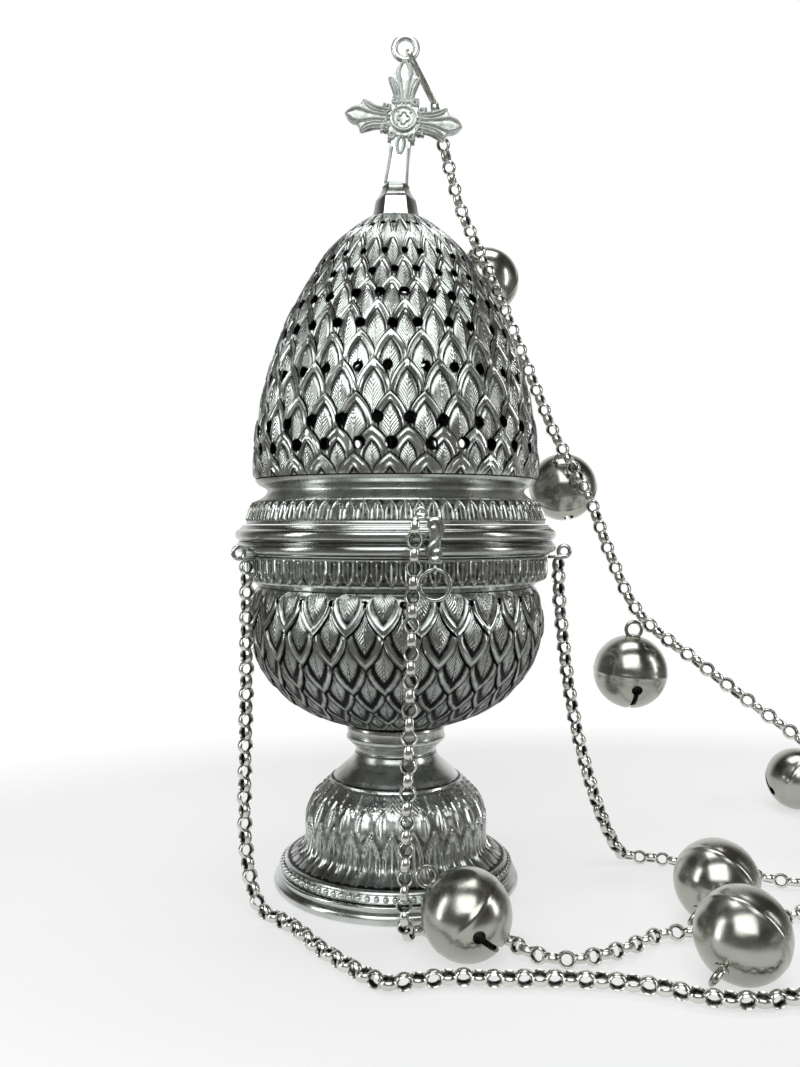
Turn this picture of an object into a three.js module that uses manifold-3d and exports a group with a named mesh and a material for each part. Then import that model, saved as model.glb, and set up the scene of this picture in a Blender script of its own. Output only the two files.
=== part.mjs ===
// Hanging church censer: footed bowl, pierced domed lid with a cross, chains, bells and chain cap
// Units are millimetres, +Z is up, and the origin is the middle of the foot where it stands.
// The viewer stands on the -Y side, so +X is to the right and +Y is away.

import * as THREE from 'three';
import { mergeVertices } from 'three/addons/utils/BufferGeometryUtils.js';
import Module from 'manifold-3d';

const wasm = await Module();
wasm.setup();

// Driving dimensions

const seam = 0.3; // gap left between two pieces that touch
const flatness = 0.005; // corners this close to a flat face are dropped after a cut
const sheet = 1.2; // wall of the spun metal shells
const roundSides = 24; // facets round the spun pieces
const smallSides = 20; // facets round the small turned pieces
const fastenerSides = 12; // facets round the bolt and its washer
const hexSides = 6; // faces of the nuts and of the socket under the cross

const footRimRadius = 38;
const footRimWidth = 5;
const footRimHeight = 5.4;
const footRadius = 35.9;
const footHeight = 34.6;
const footTopRadius = 12.7;

const neckHeight = 3.5;
const neckTopRadius = 14.1;
const collarRadius = 15.4;
const collarHeight = 5.1;

const bowlBaseRadius = 16.3;
const bowlRadius = 45.6;
const bowlHeight = 42.4;
const bowlMouthRadius = 42.7;
const bowlBandFlare = 4.1; // how far the band stands out past the bowl's mouth
const bowlBandHeight = 9.3;
const rimOverhang = 2.9; // how far both rims stand out past the bowl's band
const rimHeight = 4;
const rimWidth = 4.7;

const lidRimHeight = 4.6;
const lidLipDepth = 3;
const lidLipPlay = 0.4;
const lidBandSetback = 3.3; // how far the lid's band lies behind the rims' edge
const lidBandHeight = 7.6;
const coveDepth = 6.5; // how far the cove cuts in behind the lid's band
const coveHeight = 5.9;
const domeSetback = 5.4; // how far the dome's foot lies behind the rims' edge
const domeHeight = 80.9;
const domeTopRadius = 9.2;
const holesPerRow = 28;
const holeWidth = 3;
const holeShareOfPitch = 0.3;
const holeHeading = 268.15; // of one hole in a row that isn't shifted
// Each row of holes: its rise as a share of the dome's height, and its shift in pitches
const holeRows = [
  { rise: 0.101, shift: 0 }, { rise: 0.182, shift: 0.5 }, { rise: 0.361, shift: 0 }, { rise: 0.522, shift: 0 },
  { rise: 0.63, shift: 0.5 }, { rise: 0.724, shift: 0 }, { rise: 0.807, shift: 0.5 }, { rise: 0.937, shift: 0 },
];

const cupPlay = 4.5; // between the cup's edge and the mouth of the bowl
const cupBaseRadius = 22;
const cupHeight = 32;
const cupWall = 1;
const cupFootWidth = 2;
const cupFootHeight = 2;
const cupBellyShare = 0.86; // of the cup's radius, three tenths of the way up

const boltRadius = 2;
const boltPlay = 0.3;
const boltHeadRadius = 5;
const boltHeadHeight = 1.7;
const washerRadius = 6.5;
const washerThickness = 1;
const nutRadius = 5.05; // to its corners
const nutHeight = 3.2;
const boltTail = 1.5;

const socketFlangeRadius = 7.6;
const socketTopRadius = 3.7;
const socketHeight = 11;
const crossTilt = 6.6;
const crossThickness = 3.4;
const crossShaftHalfWidth = 2.9;
const crossArmReach = 17.6;
const crossCentreHeight = 20.8;
const crossLeafHalfWidth = 4.2;
const medallionRadius = 4.4;
const medallionThickness = 5;
const crossRodRadius = 1.6;
const rodTail = 1; // what shows of the rod under its nut
const rodRoot = 3; // how far the rod reaches up into the shaft of the cross
const lidNutRadius = 3.6;
const lidNutHeight = 2.6;
const eyeRadius = 3.5;
const eyeWire = 1.1;
const eyeHeight = 43.4; // of the eye's middle above the socket
const stalkWidth = 2;
const stalkRoot = 1.6; // how far the eye's stalk reaches down into the top leaf
const linkWire = 0.6;
const linkHalfWidth = 2.2;

const chainRadius = 2.45;
const chainSides = 8;
const chainStep = 16; // length of one straight facet along a chain
const chainRest = 2.6; // height of a chain's middle where it lies on the table

const bellRadius = 11.7;
const bellWall = 0.8;
const bellSlitWidth = 1.6;
const bellSlitStart = 2; // below the middle of the ball
const bellLoopHeight = 5;
const bellLoopWire = 0.7;
const bellSides = 10;
const pelletRadius = 2.2;

const lugWidth = 4;
const lugDepth = 4.3;
const lugTongue = 1;
const lugHeight = 4.4;
const lugHoleRadius = 0.9;
const leftLugAngle = 210.3;
const rightLugAngle = 349.5;
const bracketX = 10.4;
const bracketWidth = 4;
const bracketDepth = 4.4;
const bracketRise = 12.8;
const bracketArmThickness = 1.6;
const bracketArmDepth = 2.4;
const ringEyeWidth = 2;
const ringEyeDepth = 2.6;
const ringEyeHeight = 3.2;
const ringHoleDrop = 1.3;
const looseRingRadius = 4.1;
const looseRingWire = 0.5;

const capX = 190;
const capY = -30;
const capRadius = 19;
const capHeight = 14;
const capWall = 1.4;
const capEyeRadius = 2.8;
const capEyeWire = 0.9;
const capEyeFlange = 1.2;
const capEyeFlangeRadius = 3;
const capEyeStudTail = 1.6;
const capLugLength = 2.9;
const capLugWidth = 4;
const capLugHeight = 2;
const fingerRingRadius = 14.5;
const fingerRingWire = 1.4;
const fingerRingHeading = 135; // the way the ring lies over, between two chain lugs

// Radii that follow from one another, from the bowl's mouth out to the rims and back in to the dome

const bowlBandRadius = bowlMouthRadius + bowlBandFlare;
const rimRadius = bowlBandRadius + rimOverhang;
const rimInnerRadius = rimRadius - rimWidth;
const lidBandRadius = rimRadius - lidBandSetback;
const coveRadius = lidBandRadius - coveDepth;
const domeRadius = rimRadius - domeSetback;
const cupRadius = bowlMouthRadius - sheet - cupPlay;

// Heights of the stacked pieces, worked out from the sizes above

const neckBase = footRimHeight + seam + footHeight + seam;
const collarBase = neckBase + neckHeight + seam;
const bowlBase = collarBase + collarHeight + seam;
const bowlTop = bowlBase + bowlHeight;
const bowlBandBase = bowlTop + seam;
const rimBase = bowlBandBase + bowlBandHeight + seam;
const rimTop = rimBase + rimHeight;
const lidRimBase = rimTop + seam;
const lidBandBase = lidRimBase + lidRimHeight + seam;
const coveBase = lidBandBase + lidBandHeight;
const domeBase = coveBase + coveHeight + seam;
const domeTop = domeBase + domeHeight;
const socketBase = domeTop + seam;
const socketTop = socketBase + socketHeight;

// Finishes

function metal(color, roughness) {
  return new THREE.MeshStandardMaterial({ color, roughness, metalness: 1 });
}

const silver = () => metal(0xb9bcb6, 0.3);
const darkSilver = () => metal(0x7d7f7a, 0.42);
const polishedBell = () => metal(0xc6c6ba, 0.16);
const chainSilver = () => metal(0xacaea7, 0.34);
const copper = () => metal(0xa06a44, 0.45);
const steel = () => metal(0x8c8c8c, 0.5);

// Shape helpers

const vec = (x, y, z) => new THREE.Vector3(x, y, z);

function closedGeometry(geometry) {
  const plain = geometry.index ? geometry.toNonIndexed() : geometry.clone();
  for (const name of Object.keys(plain.attributes)) {
    if (name !== 'position') plain.deleteAttribute(name);
  }
  const merged = mergeVertices(plain, 1e-4);
  const corners = merged.index.array;
  const kept = [];
  for (let i = 0; i < corners.length; i += 3) {
    const [a, b, c] = [corners[i], corners[i + 1], corners[i + 2]];
    if (a !== b && b !== c && c !== a) kept.push(a, b, c);
  }
  merged.setIndex(kept);
  if (signedVolume(merged) < 0) {
    for (let i = 0; i < kept.length; i += 3) {
      [kept[i], kept[i + 1]] = [kept[i + 1], kept[i]];
    }
    merged.setIndex(kept);
  }
  return merged;
}

function signedVolume(geometry) {
  const position = geometry.attributes.position;
  const index = geometry.index.array;
  const a = new THREE.Vector3();
  const b = new THREE.Vector3();
  const c = new THREE.Vector3();
  let total = 0;
  for (let i = 0; i < index.length; i += 3) {
    a.fromBufferAttribute(position, index[i]);
    b.fromBufferAttribute(position, index[i + 1]);
    c.fromBufferAttribute(position, index[i + 2]);
    total += a.dot(b.cross(c)) / 6;
  }
  return total;
}

function toSolid(geometry) {
  const closed = closedGeometry(geometry);
  const vertProperties = new Float32Array(closed.attributes.position.array);
  const triVerts = new Uint32Array(closed.index.array);
  return new wasm.Manifold(new wasm.Mesh({ numProp: 3, vertProperties, triVerts }));
}

function fromSolid(solid) {
  const mesh = solid.asOriginal().simplify(flatness).getMesh();
  const geometry = new THREE.BufferGeometry();
  geometry.setAttribute('position', new THREE.BufferAttribute(new Float32Array(mesh.vertProperties), 3));
  geometry.setIndex(Array.from(mesh.triVerts));
  return geometry;
}

// A profile is a list of [radius, height] points, turned about the Z axis
function turned(profile, sides) {
  const points = profile.map(([radius, height]) => new THREE.Vector2(radius, height));
  const first = points[0];
  const last = points[points.length - 1];
  const onAxis = first.x === 0 && last.x === 0;
  if (!onAxis) points.push(first.clone());
  return closedGeometry(new THREE.LatheGeometry(points, sides).rotateX(Math.PI / 2));
}

// The inside of a spun shell: the outer profile moved towards the hollow by the wall
function inset(outer, wall) {
  return outer.map(([radius, height], i) => {
    const before = outer[Math.max(i - 1, 0)];
    const after = outer[Math.min(i + 1, outer.length - 1)];
    const along = new THREE.Vector2(after[0] - before[0], after[1] - before[1]).normalize();
    const inward = new THREE.Vector2(-along.y, along.x);
    const isEnd = i === 0 || i === outer.length - 1;
    if (!isEnd) return [radius + wall * inward.x, height + wall * inward.y];
    if (Math.abs(inward.x) > Math.abs(inward.y)) return [radius + wall / inward.x, height];
    return [radius, height + wall / inward.y];
  });
}

function spunShell(outer, wall, sides) {
  return turned([...outer, ...inset(outer, wall).reverse()], sides);
}

// A flat ring or a bored disc, given as inner radius, outer radius, bottom and top
function ring(inner, outer, bottom, top, sides) {
  return turned([[inner, bottom], [outer, bottom], [outer, top], [inner, top]], sides);
}

function box(width, depth, height, centre) {
  return new THREE.BoxGeometry(width, depth, height).translate(centre.x, centre.y, centre.z);
}

function torus(radius, wire, wireSides, ringSides) {
  return new THREE.TorusGeometry(radius, wire, wireSides, ringSides);
}

// A loop of wire drawn long along Y, lying in the XY plane before it is turned
function longLink(halfLength, halfWidth, wire) {
  const turns = 12;
  const loop = torus(halfWidth, wire, 5, turns).rotateZ(Math.PI / turns);
  const position = loop.attributes.position;
  for (let i = 0; i < position.count; i += 1) {
    const side = Math.sign(position.getY(i));
    position.setY(i, position.getY(i) + side * (halfLength - halfWidth));
  }
  return loop;
}

function wireSection(radius, sides) {
  const section = new THREE.Shape();
  for (let i = 0; i < sides; i += 1) {
    const angle = (2 * Math.PI * i) / sides;
    const [x, y] = [radius * Math.cos(angle), radius * Math.sin(angle)];
    if (i === 0) section.moveTo(x, y);
    else section.lineTo(x, y);
  }
  section.closePath();
  return section;
}

function wireAlong(path, radius, sides, steps) {
  return new THREE.ExtrudeGeometry(wireSection(radius, sides), { steps, extrudePath: path, bevelEnabled: false });
}

const censer = new THREE.Group();
censer.name = 'censer';

function addPiece(name, geometry, material, parent = censer) {
  const piece = new THREE.Mesh(closedGeometry(geometry), material);
  piece.name = name;
  parent.add(piece);
  return piece;
}

// Foot: a rolled rim that stands on the table, and a bell-shaped shell that rises from it

const footRimBore = footRimRadius - footRimWidth;
addPiece('foot_rim', turned([
  [footRimBore, 0],
  [footRimRadius - 1, 0],
  [footRimRadius, 0.9],
  [footRimRadius, 2.2],
  [footRimRadius - 1.2, 3.2],
  [footRadius + 0.2, footRimHeight],
  [footRimBore, footRimHeight],
], roundSides), silver());

const boltHole = boltRadius + boltPlay;
const footBase = footRimHeight + seam;
// Shares of the foot's radius and height, from the rim up
const footRise = [
  [1, 0], [0.95, 0.06], [0.843, 0.152], [0.77, 0.22], [0.77, 0.43], [0.745, 0.55],
  [0.66, 0.69], [0.507, 0.84], [0.392, 0.945],
];
const footOuter = footRise.map(([r, z]) => [footRadius * r, footBase + footHeight * z]);
footOuter.push([footTopRadius, footBase + footHeight]);
footOuter.push([boltHole, footBase + footHeight]);
addPiece('foot_shell', spunShell(footOuter, sheet, roundSides), silver());

// Stem: a short flared neck and a plain collar under the bowl

addPiece('stem_neck', turned([
  [boltHole, neckBase],
  [footTopRadius - 0.1, neckBase],
  [neckTopRadius - 0.8, neckBase + 0.62 * neckHeight],
  [neckTopRadius, neckBase + neckHeight],
  [boltHole, neckBase + neckHeight],
], smallSides), silver());

const collarCorner = 0.6;
addPiece('stem_collar', turned([
  [boltHole, collarBase],
  [collarRadius - collarCorner, collarBase],
  [collarRadius, collarBase + collarCorner],
  [collarRadius, collarBase + collarHeight],
  [boltHole, collarBase + collarHeight],
], smallSides), silver());

// Bowl: embossed shell, tongue band and the rim that the lid sits on

// Shares of the bowl's radius and height, from its base up
const bowlRise = [
  [0.51, 0.052], [0.68, 0.144], [0.86, 0.328], [0.95, 0.486], [0.996, 0.675], [0.993, 0.814],
];
const bowlOuter = bowlRise.map(([r, z]) => [bowlRadius * r, bowlBase + bowlHeight * z]);
bowlOuter.unshift([boltHole, bowlBase], [bowlBaseRadius, bowlBase]);
bowlOuter.push([bowlMouthRadius, bowlTop]);
addPiece('bowl_shell', spunShell(bowlOuter, sheet, roundSides), darkSilver());

addPiece('bowl_band', spunShell([
  [bowlMouthRadius + 0.2, bowlBandBase],
  [bowlBandRadius, bowlBandBase + 0.32 * bowlBandHeight],
  [bowlBandRadius, bowlBandBase + bowlBandHeight],
], sheet, roundSides), darkSilver());

addPiece('bowl_rim', turned([
  [rimInnerRadius, rimBase],
  [rimRadius - 1.3, rimBase],
  [rimRadius, rimBase + 0.35 * rimHeight],
  [rimRadius, rimBase + 0.72 * rimHeight],
  [rimRadius - 0.8, rimTop],
  [rimInnerRadius, rimTop],
], roundSides), silver());

// Charcoal cup: a loose copper dish that stands on its foot ring inside the bowl

const innerBowl = inset(bowlOuter, sheet);
function innerBowlHeight(radius) {
  const next = innerBowl.findIndex(([r]) => r >= radius);
  const [r0, z0] = innerBowl[next - 1];
  const [r1, z1] = innerBowl[next];
  return z0 + ((radius - r0) / (r1 - r0)) * (z1 - z0);
}
const cupFootBase = innerBowlHeight(cupBaseRadius) + seam;
const cupBase = cupFootBase + cupFootHeight;
const cupTop = cupBase + cupHeight;
addPiece('charcoal_cup', turned([
  [0, cupBase],
  [cupBaseRadius - cupFootWidth, cupBase],
  [cupBaseRadius - cupFootWidth, cupFootBase],
  [cupBaseRadius, cupFootBase],
  [cupBaseRadius + 1, cupBase],
  [cupBellyShare * cupRadius, cupBase + 0.3 * cupHeight],
  [cupRadius, cupTop],
  [cupRadius - cupWall, cupTop],
  [cupBellyShare * cupRadius - cupWall, cupBase + 0.3 * cupHeight + cupWall / 2],
  [cupBaseRadius, cupBase + cupWall],
  [0, cupBase + cupWall],
], roundSides), copper());

// Through bolt, washer and nut that hold bowl, collar, neck and foot together

const boltHeadBase = bowlBase + sheet + seam;
const washerTop = footBase + footHeight - sheet - seam;
const washerBase = washerTop - washerThickness;
const nutTop = washerBase - seam;
const nutBase = nutTop - nutHeight;
addPiece('stem_bolt', turned([
  [0, nutBase - boltTail],
  [boltRadius, nutBase - boltTail],
  [boltRadius, boltHeadBase],
  [boltHeadRadius, boltHeadBase],
  [0.7 * boltHeadRadius, boltHeadBase + boltHeadHeight],
  [0, boltHeadBase + boltHeadHeight],
], fastenerSides), steel());
addPiece('stem_washer', ring(boltHole, washerRadius, washerBase, washerTop, fastenerSides), steel());
addPiece('stem_nut', ring(boltHole, nutRadius, nutBase, nutTop, hexSides), steel());

// Lid: rim with a locating lip, tongue band with its cove, and the pierced dome

const lipRadius = rimInnerRadius - lidLipPlay;
addPiece('lid_rim', turned([
  [lipRadius - sheet, lidRimBase - lidLipDepth],
  [lipRadius, lidRimBase - lidLipDepth],
  [lipRadius, lidRimBase],
  [rimRadius - 0.8, lidRimBase],
  [rimRadius, lidRimBase + 0.3 * lidRimHeight],
  [rimRadius, lidRimBase + 0.66 * lidRimHeight],
  [rimRadius - 1.6, lidRimBase + lidRimHeight],
  [lipRadius - sheet, lidRimBase + lidRimHeight],
], roundSides), silver());

const lidBandOuter = [
  [lidBandRadius, lidBandBase],
  [lidBandRadius - 1.2, lidBandBase + 0.6 * lidBandHeight],
  [coveRadius + 1.8, coveBase],
  [coveRadius, coveBase + 0.3 * coveHeight],
  [coveRadius + 2.2, coveBase + 0.66 * coveHeight],
  [domeRadius - 0.6, coveBase + coveHeight],
];
addPiece('lid_band', spunShell(lidBandOuter, sheet, roundSides), silver());

// Shares of the dome's radius and height, from its base up
const domeRise = [
  [1, 0], [0.985, 0.14], [0.942, 0.27], [0.866, 0.45], [0.78, 0.575], [0.67, 0.695],
  [0.49, 0.852], [0.207, 1],
];
const domeOuter = domeRise.map(([r, z]) => [Math.max(domeRadius * r, domeTopRadius), domeBase + domeHeight * z]);
const rodHole = crossRodRadius + boltPlay;
domeOuter.push([rodHole, domeTop]);
const domeSides = 2 * holesPerRow;
const facetTurn = Math.PI / domeSides + THREE.MathUtils.degToRad(holeHeading);
const domeShell = spunShell(domeOuter, sheet, domeSides).rotateZ(facetTurn);

function domeRadiusAt(height) {
  const next = domeOuter.findIndex(([, z]) => z >= height);
  const [r0, z0] = domeOuter[next - 1];
  const [r1, z1] = domeOuter[next];
  return { radius: r0 + ((height - z0) / (z1 - z0)) * (r1 - r0), slope: Math.atan2(r0 - r1, z1 - z0) };
}

const holeCutters = [];
for (const { rise, shift } of holeRows) {
  const height = domeBase + domeHeight * rise;
  const { radius, slope } = domeRadiusAt(height);
  const pitch = (2 * Math.PI * radius) / holesPerRow;
  const side = Math.min(holeWidth, holeShareOfPitch * pitch);
  for (let i = 0; i < holesPerRow; i += 1) {
    const angle = THREE.MathUtils.degToRad(holeHeading) + (2 * Math.PI * (i + shift)) / holesPerRow;
    const cutter = new THREE.BoxGeometry(6 * sheet, side, side);
    cutter.rotateY(-slope);
    cutter.translate(radius, 0, height);
    cutter.rotateZ(angle);
    holeCutters.push(toSolid(cutter));
  }
}
const piercedDome = toSolid(domeShell).subtract(wasm.Manifold.union(holeCutters));
addPiece('lid_dome', fromSolid(piercedDome), darkSilver());

// Finial: faceted socket, cast cross with its rod and eye, the nut inside, and the link in the eye

addPiece('finial_socket', turned([
  [rodHole, socketBase],
  [socketFlangeRadius, socketBase],
  [socketFlangeRadius - 0.2, socketBase + 1.4],
  [0.72 * socketFlangeRadius, socketBase + 0.42 * socketHeight],
  [1.1 * socketTopRadius, socketBase + 0.75 * socketHeight],
  [socketTopRadius, socketTop],
  [rodHole, socketTop],
], hexSides), silver());

// One arm of the cross, from its root near the medallion to the tip of its three-leaved end
function armOutline(rootHalfWidth) {
  const reach = crossArmReach;
  return [
    [rootHalfWidth, 0.2 * reach], [0.55 * crossLeafHalfWidth, 0.5 * reach],
    [crossLeafHalfWidth, 0.6 * reach], [0.82 * crossLeafHalfWidth, 0.78 * reach], [0, reach],
  ];
}

// The left, top and right arms in turn, then the shaft closes the fourth side
const shaftFoot = seam + crossShaftHalfWidth * Math.sin(THREE.MathUtils.degToRad(crossTilt)) - crossCentreHeight;

function crossPoints() {
  const half = armOutline(0.66 * crossLeafHalfWidth);
  const otherHalf = half.slice(0, -1).reverse().map(([side, out]) => [-side, out]);
  const armRoot = -0.2 * crossArmReach;
  const points = [];
  for (const angle of [Math.PI, Math.PI / 2, 0]) {
    const [cos, sin] = [Math.cos(angle), Math.sin(angle)];
    for (const [side, out] of [...half, ...otherHalf]) {
      points.push(new THREE.Vector2(out * cos - side * sin, out * sin + side * cos));
    }
  }
  points.push(new THREE.Vector2(crossShaftHalfWidth, armRoot));
  points.push(new THREE.Vector2(crossShaftHalfWidth, shaftFoot));
  points.push(new THREE.Vector2(-crossShaftHalfWidth, shaftFoot));
  points.push(new THREE.Vector2(-crossShaftHalfWidth, armRoot));
  return points;
}

const crossShape = new THREE.Shape(crossPoints());
const upright = new THREE.Matrix4().makeRotationX(Math.PI / 2);
const crossPlate = new THREE.ExtrudeGeometry(crossShape, { depth: crossThickness, bevelEnabled: false });
crossPlate.applyMatrix4(upright);
crossPlate.translate(0, crossThickness / 2, crossCentreHeight);
const medallion = new THREE.CylinderGeometry(medallionRadius, medallionRadius, medallionThickness, 12);
medallion.translate(0, 0, crossCentreHeight);
const crossEye = torus(eyeRadius, eyeWire, 6, 14).rotateX(Math.PI / 2).translate(0, 0, eyeHeight);
const stalkBottom = crossCentreHeight + crossArmReach - stalkRoot;
const stalkTop = eyeHeight - eyeRadius;
const eyeStalk = box(stalkWidth, stalkWidth, stalkTop - stalkBottom, vec(0, 0, (stalkTop + stalkBottom) / 2));
const crossSolid = toSolid(crossPlate).add(toSolid(medallion)).add(toSolid(eyeStalk)).add(toSolid(crossEye));
const tilt = new THREE.Matrix4().makeRotationY(THREE.MathUtils.degToRad(crossTilt));
tilt.setPosition(0, 0, socketTop);
const crossInPlace = fromSolid(crossSolid).applyMatrix4(tilt);
const lidNutTop = domeTop - sheet - seam;
const rodBottom = lidNutTop - lidNutHeight - rodTail;
const rodTop = socketTop + rodRoot;
const rod = new THREE.CylinderGeometry(crossRodRadius, crossRodRadius, rodTop - rodBottom, 8);
rod.rotateX(Math.PI / 2).translate(0, 0, (rodTop + rodBottom) / 2);
addPiece('finial_cross', fromSolid(toSolid(crossInPlace).add(toSolid(rod))), silver());
addPiece('finial_nut', ring(rodHole, lidNutRadius, lidNutTop - lidNutHeight, lidNutTop, hexSides), steel());

const eyeCentre = vec(0, 0, eyeHeight).applyMatrix4(tilt);

// Chain routes: points chosen by hand along each chain, from the censer to the chain cap

const lidChainUpper = [
  [12.2, 4.4, 245.3], [13.8, 7, 239], [15.8, 10.2, 232.4], [18.3, 14, 225], [21, 18, 217.4],
  [26.1, 23, 207.6], [31.9, 24, 195.7], [35.8, 23.4, 186], [41.8, 22.4, 170.3], [48, 22, 154.4],
  [53.7, 21.4, 140.5], [59.9, 20.2, 129.4], [64.1, 19, 121], [69.9, 15, 102.8], [76, 9.4, 86.4],
  [80.4, 6.2, 79.9], [86.9, 2.6, 74], [93, -0.6, 69.4],
];
const lidChainLower = [
  [93, -0.6, 69.4], [98.9, -3.8, 64.4], [104.9, -6.9, 59.5],
  [110.6, -9.8, 55], [116.3, -12.6, 50.6], [122, -15.2, 46], [132, -18, 36.5], [142, -20.4, 25.4],
  [151, -24, 14.6], [157, -28, 6.6], [161.6, -29.8, 3], [164.6, -30, 2.6], [167.8, -30, 2.6],
];
const leftChain = [
  [-42.9, -25, 100.7], [-42.9, -25, 90], [-42.9, -25.2, 78], [-42.9, -26, 60.7], [-43, -27, 43.8],
  [-43, -28, 27], [-42.3, -29, 17.6], [-40.4, -30.4, 8.6], [-37.6, -32.6, 3.6], [-33.4, -36.2, 2.6],
  [-28.8, -41, 2.6], [-24.9, -46.4, 2.6], [-21, -53.3, 2.6], [-15.9, -60.3, 2.6], [-9.1, -68.5, 2.6],
  [-2, -74.6, 2.6], [7, -73, 2.6], [15.8, -71.8, 2.6], [24, -72.6, 2.6], [34, -72.4, 2.6],
  [44, -73, 2.6], [52.3, -74, 2.6], [60.3, -76.2, 2.6], [66, -78.6, 2.6], [71.4, -81.4, 2.6],
  [78, -83, 2.6], [86, -83, 2.6], [94, -81, 2.6], [104, -80.6, 2.6], [118, -84, 2.6],
  [133, -93, 2.6], [152, -101, 2.6], [172, -103, 2.6], [190, -97, 2.6], [205, -86, 2.6],
  [216, -72, 2.6], [223, -57, 2.6], [224, -43, 2.6], [220.5, -33.5, 2.6], [216, -30.4, 2.6], [212.2, -30, 2.6],
];
const rightChain = [
  [49.5, -9.2, 100.7], [49.7, -9.2, 90], [51.2, -8.4, 74.6], [53.3, -7, 59.8], [56.3, -6, 45.1],
  [60.9, -3, 29.5], [64.3, 1, 20.6], [68.9, 6.4, 11], [73.2, 10.8, 4.6], [78.4, 12.6, 2.6],
  [85, 10.8, 2.6], [92, 6.6, 2.6], [102, 1.2, 2.6], [112, -5.6, 2.6], [122, -10.6, 2.6],
  [135, -10, 2.6], [148, -1, 2.6], [155, 16, 2.6], [159, 40, 2.6], [170, 64, 2.6],
  [191, 80, 2.6], [217, 78, 2.6], [236, 61, 2.6], [240, 37, 2.6], [228, 17, 2.6],
  [211, 10.4, 2.6], [197, 8.4, 2.6], [190.6, 0.4, 2.6], [190, -4, 2.6], [190, -7.8, 2.6],
];
const frontChain = [
  [5.2, -54.9, 112.6], [5, -54.9, 102], [4.4, -54.9, 86.5], [3.9, -54.8, 65.8], [3.4, -54.6, 45.1],
  [2.8, -54.2, 24.5], [2.4, -53, 11], [3.2, -49, 3.8], [7, -44.6, 2.6], [13, -42.2, 2.6],
  [20, -42.2, 2.6], [26.6, -46, 2.6], [31, -53.4, 2.6], [36, -60, 2.6], [43, -62.6, 2.6],
  [50.4, -60.6, 2.6], [57.4, -57, 2.6], [64, -52.4, 2.6], [70.6, -47.6, 2.6], [77.4, -46.4, 2.6],
  [84.4, -48, 2.6], [92.4, -47, 2.6], [101, -42.6, 2.6], [111, -34.6, 2.6], [122, -30, 2.6],
  [135, -28, 2.6], [149, -33, 2.6], [157, -47, 2.6], [150, -61, 2.6], [135, -69, 2.6],
  [138, -83, 2.6], [155, -91, 2.6], [173, -91.6, 2.6], [188, -86, 2.6], [197, -76, 2.6], [196, -65.5, 2.6],
  [190.8, -59, 2.6], [190, -56, 2.6], [190, -52.2, 2.6],
];

function addChain(name, points) {
  const curve = new THREE.CatmullRomCurve3(points.map((point) => vec(...point)), false, 'centripetal');
  const steps = Math.round(curve.getLength() / chainStep);
  addPiece(name, wireAlong(curve, chainRadius, chainSides, steps), chainSilver());
}

// The lid chain is cut in two where the part that rises with the lid ends
const cutPoint = vec(...lidChainLower[0]);
const cutDirection = vec(...lidChainLower[1]).sub(cutPoint).normalize();
const straightEnd = 2 * chainRadius;
const nearCut = (distance) => cutPoint.clone().addScaledVector(cutDirection, distance).toArray();
addChain('chain_lid_upper', [...lidChainUpper.slice(0, -1), nearCut(-straightEnd), nearCut(-seam)]);
addChain('chain_lid_lower', [nearCut(seam), nearCut(straightEnd), ...lidChainLower.slice(1)]);
addChain('chain_left', leftChain);
addChain('chain_right', rightChain);
addChain('chain_front', frontChain);

// Long link between the eye of the cross and the lid chain

const chainStart = vec(...lidChainUpper[0]);
const eyePull = chainStart.clone().sub(eyeCentre).setY(0).normalize();
const eyeContact = eyeCentre.clone().addScaledVector(eyePull, eyeRadius);
const linkDirection = chainStart.clone().sub(eyeContact).normalize();
const linkTop = eyeContact.clone().addScaledVector(linkDirection, -eyeWire - 2 * seam - 2 * linkWire);
const linkBottom = chainStart.clone().addScaledVector(linkDirection, -seam);
const linkLength = linkTop.distanceTo(linkBottom);
const linkAcross = vec(0, 1, 0).addScaledVector(linkDirection, -linkDirection.y).normalize();
const linkNormal = linkAcross.clone().cross(linkDirection);
const linkPlace = new THREE.Matrix4().makeBasis(linkAcross, linkDirection, linkNormal);
linkPlace.setPosition(linkTop.clone().add(linkBottom).multiplyScalar(0.5));
const finialLink = longLink(linkLength / 2 - linkWire, linkHalfWidth, linkWire).applyMatrix4(linkPlace);
addPiece('finial_link', finialLink, silver());

// Lugs under the bowl rim, and the tall scroll bracket in front with its loose ring

function addLug(name, angle) {
  const outline = new THREE.Shape();
  const innerEdge = bowlBandRadius + seam;
  const rimSide = rimRadius + seam;
  const bottom = rimBase - seam - lugTongue;
  outline.moveTo(innerEdge, bottom);
  outline.lineTo(rimSide + 0.7 * lugDepth, bottom);
  outline.lineTo(rimSide + lugDepth, bottom + 0.3 * lugHeight);
  outline.lineTo(rimSide + lugDepth, bottom + 0.7 * lugHeight);
  outline.lineTo(rimSide + 0.6 * lugDepth, bottom + lugHeight);
  outline.lineTo(rimSide, bottom + lugHeight);
  outline.lineTo(rimSide, rimBase - seam);
  outline.lineTo(innerEdge, rimBase - seam);
  outline.closePath();
  const hole = new THREE.Path();
  hole.absarc(rimSide + 0.5 * lugDepth, bottom + 0.5 * lugHeight, lugHoleRadius, 0, 2 * Math.PI, true);
  outline.holes.push(hole);
  const geometry = new THREE.ExtrudeGeometry(outline, { depth: lugWidth, bevelEnabled: false, curveSegments: 4 });
  geometry.translate(0, 0, -lugWidth / 2);
  geometry.rotateX(Math.PI / 2);
  geometry.rotateZ(THREE.MathUtils.degToRad(angle));
  addPiece(name, geometry, silver());
}

addLug('lug_left', leftLugAngle);
addLug('lug_right', rightLugAngle);

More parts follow.
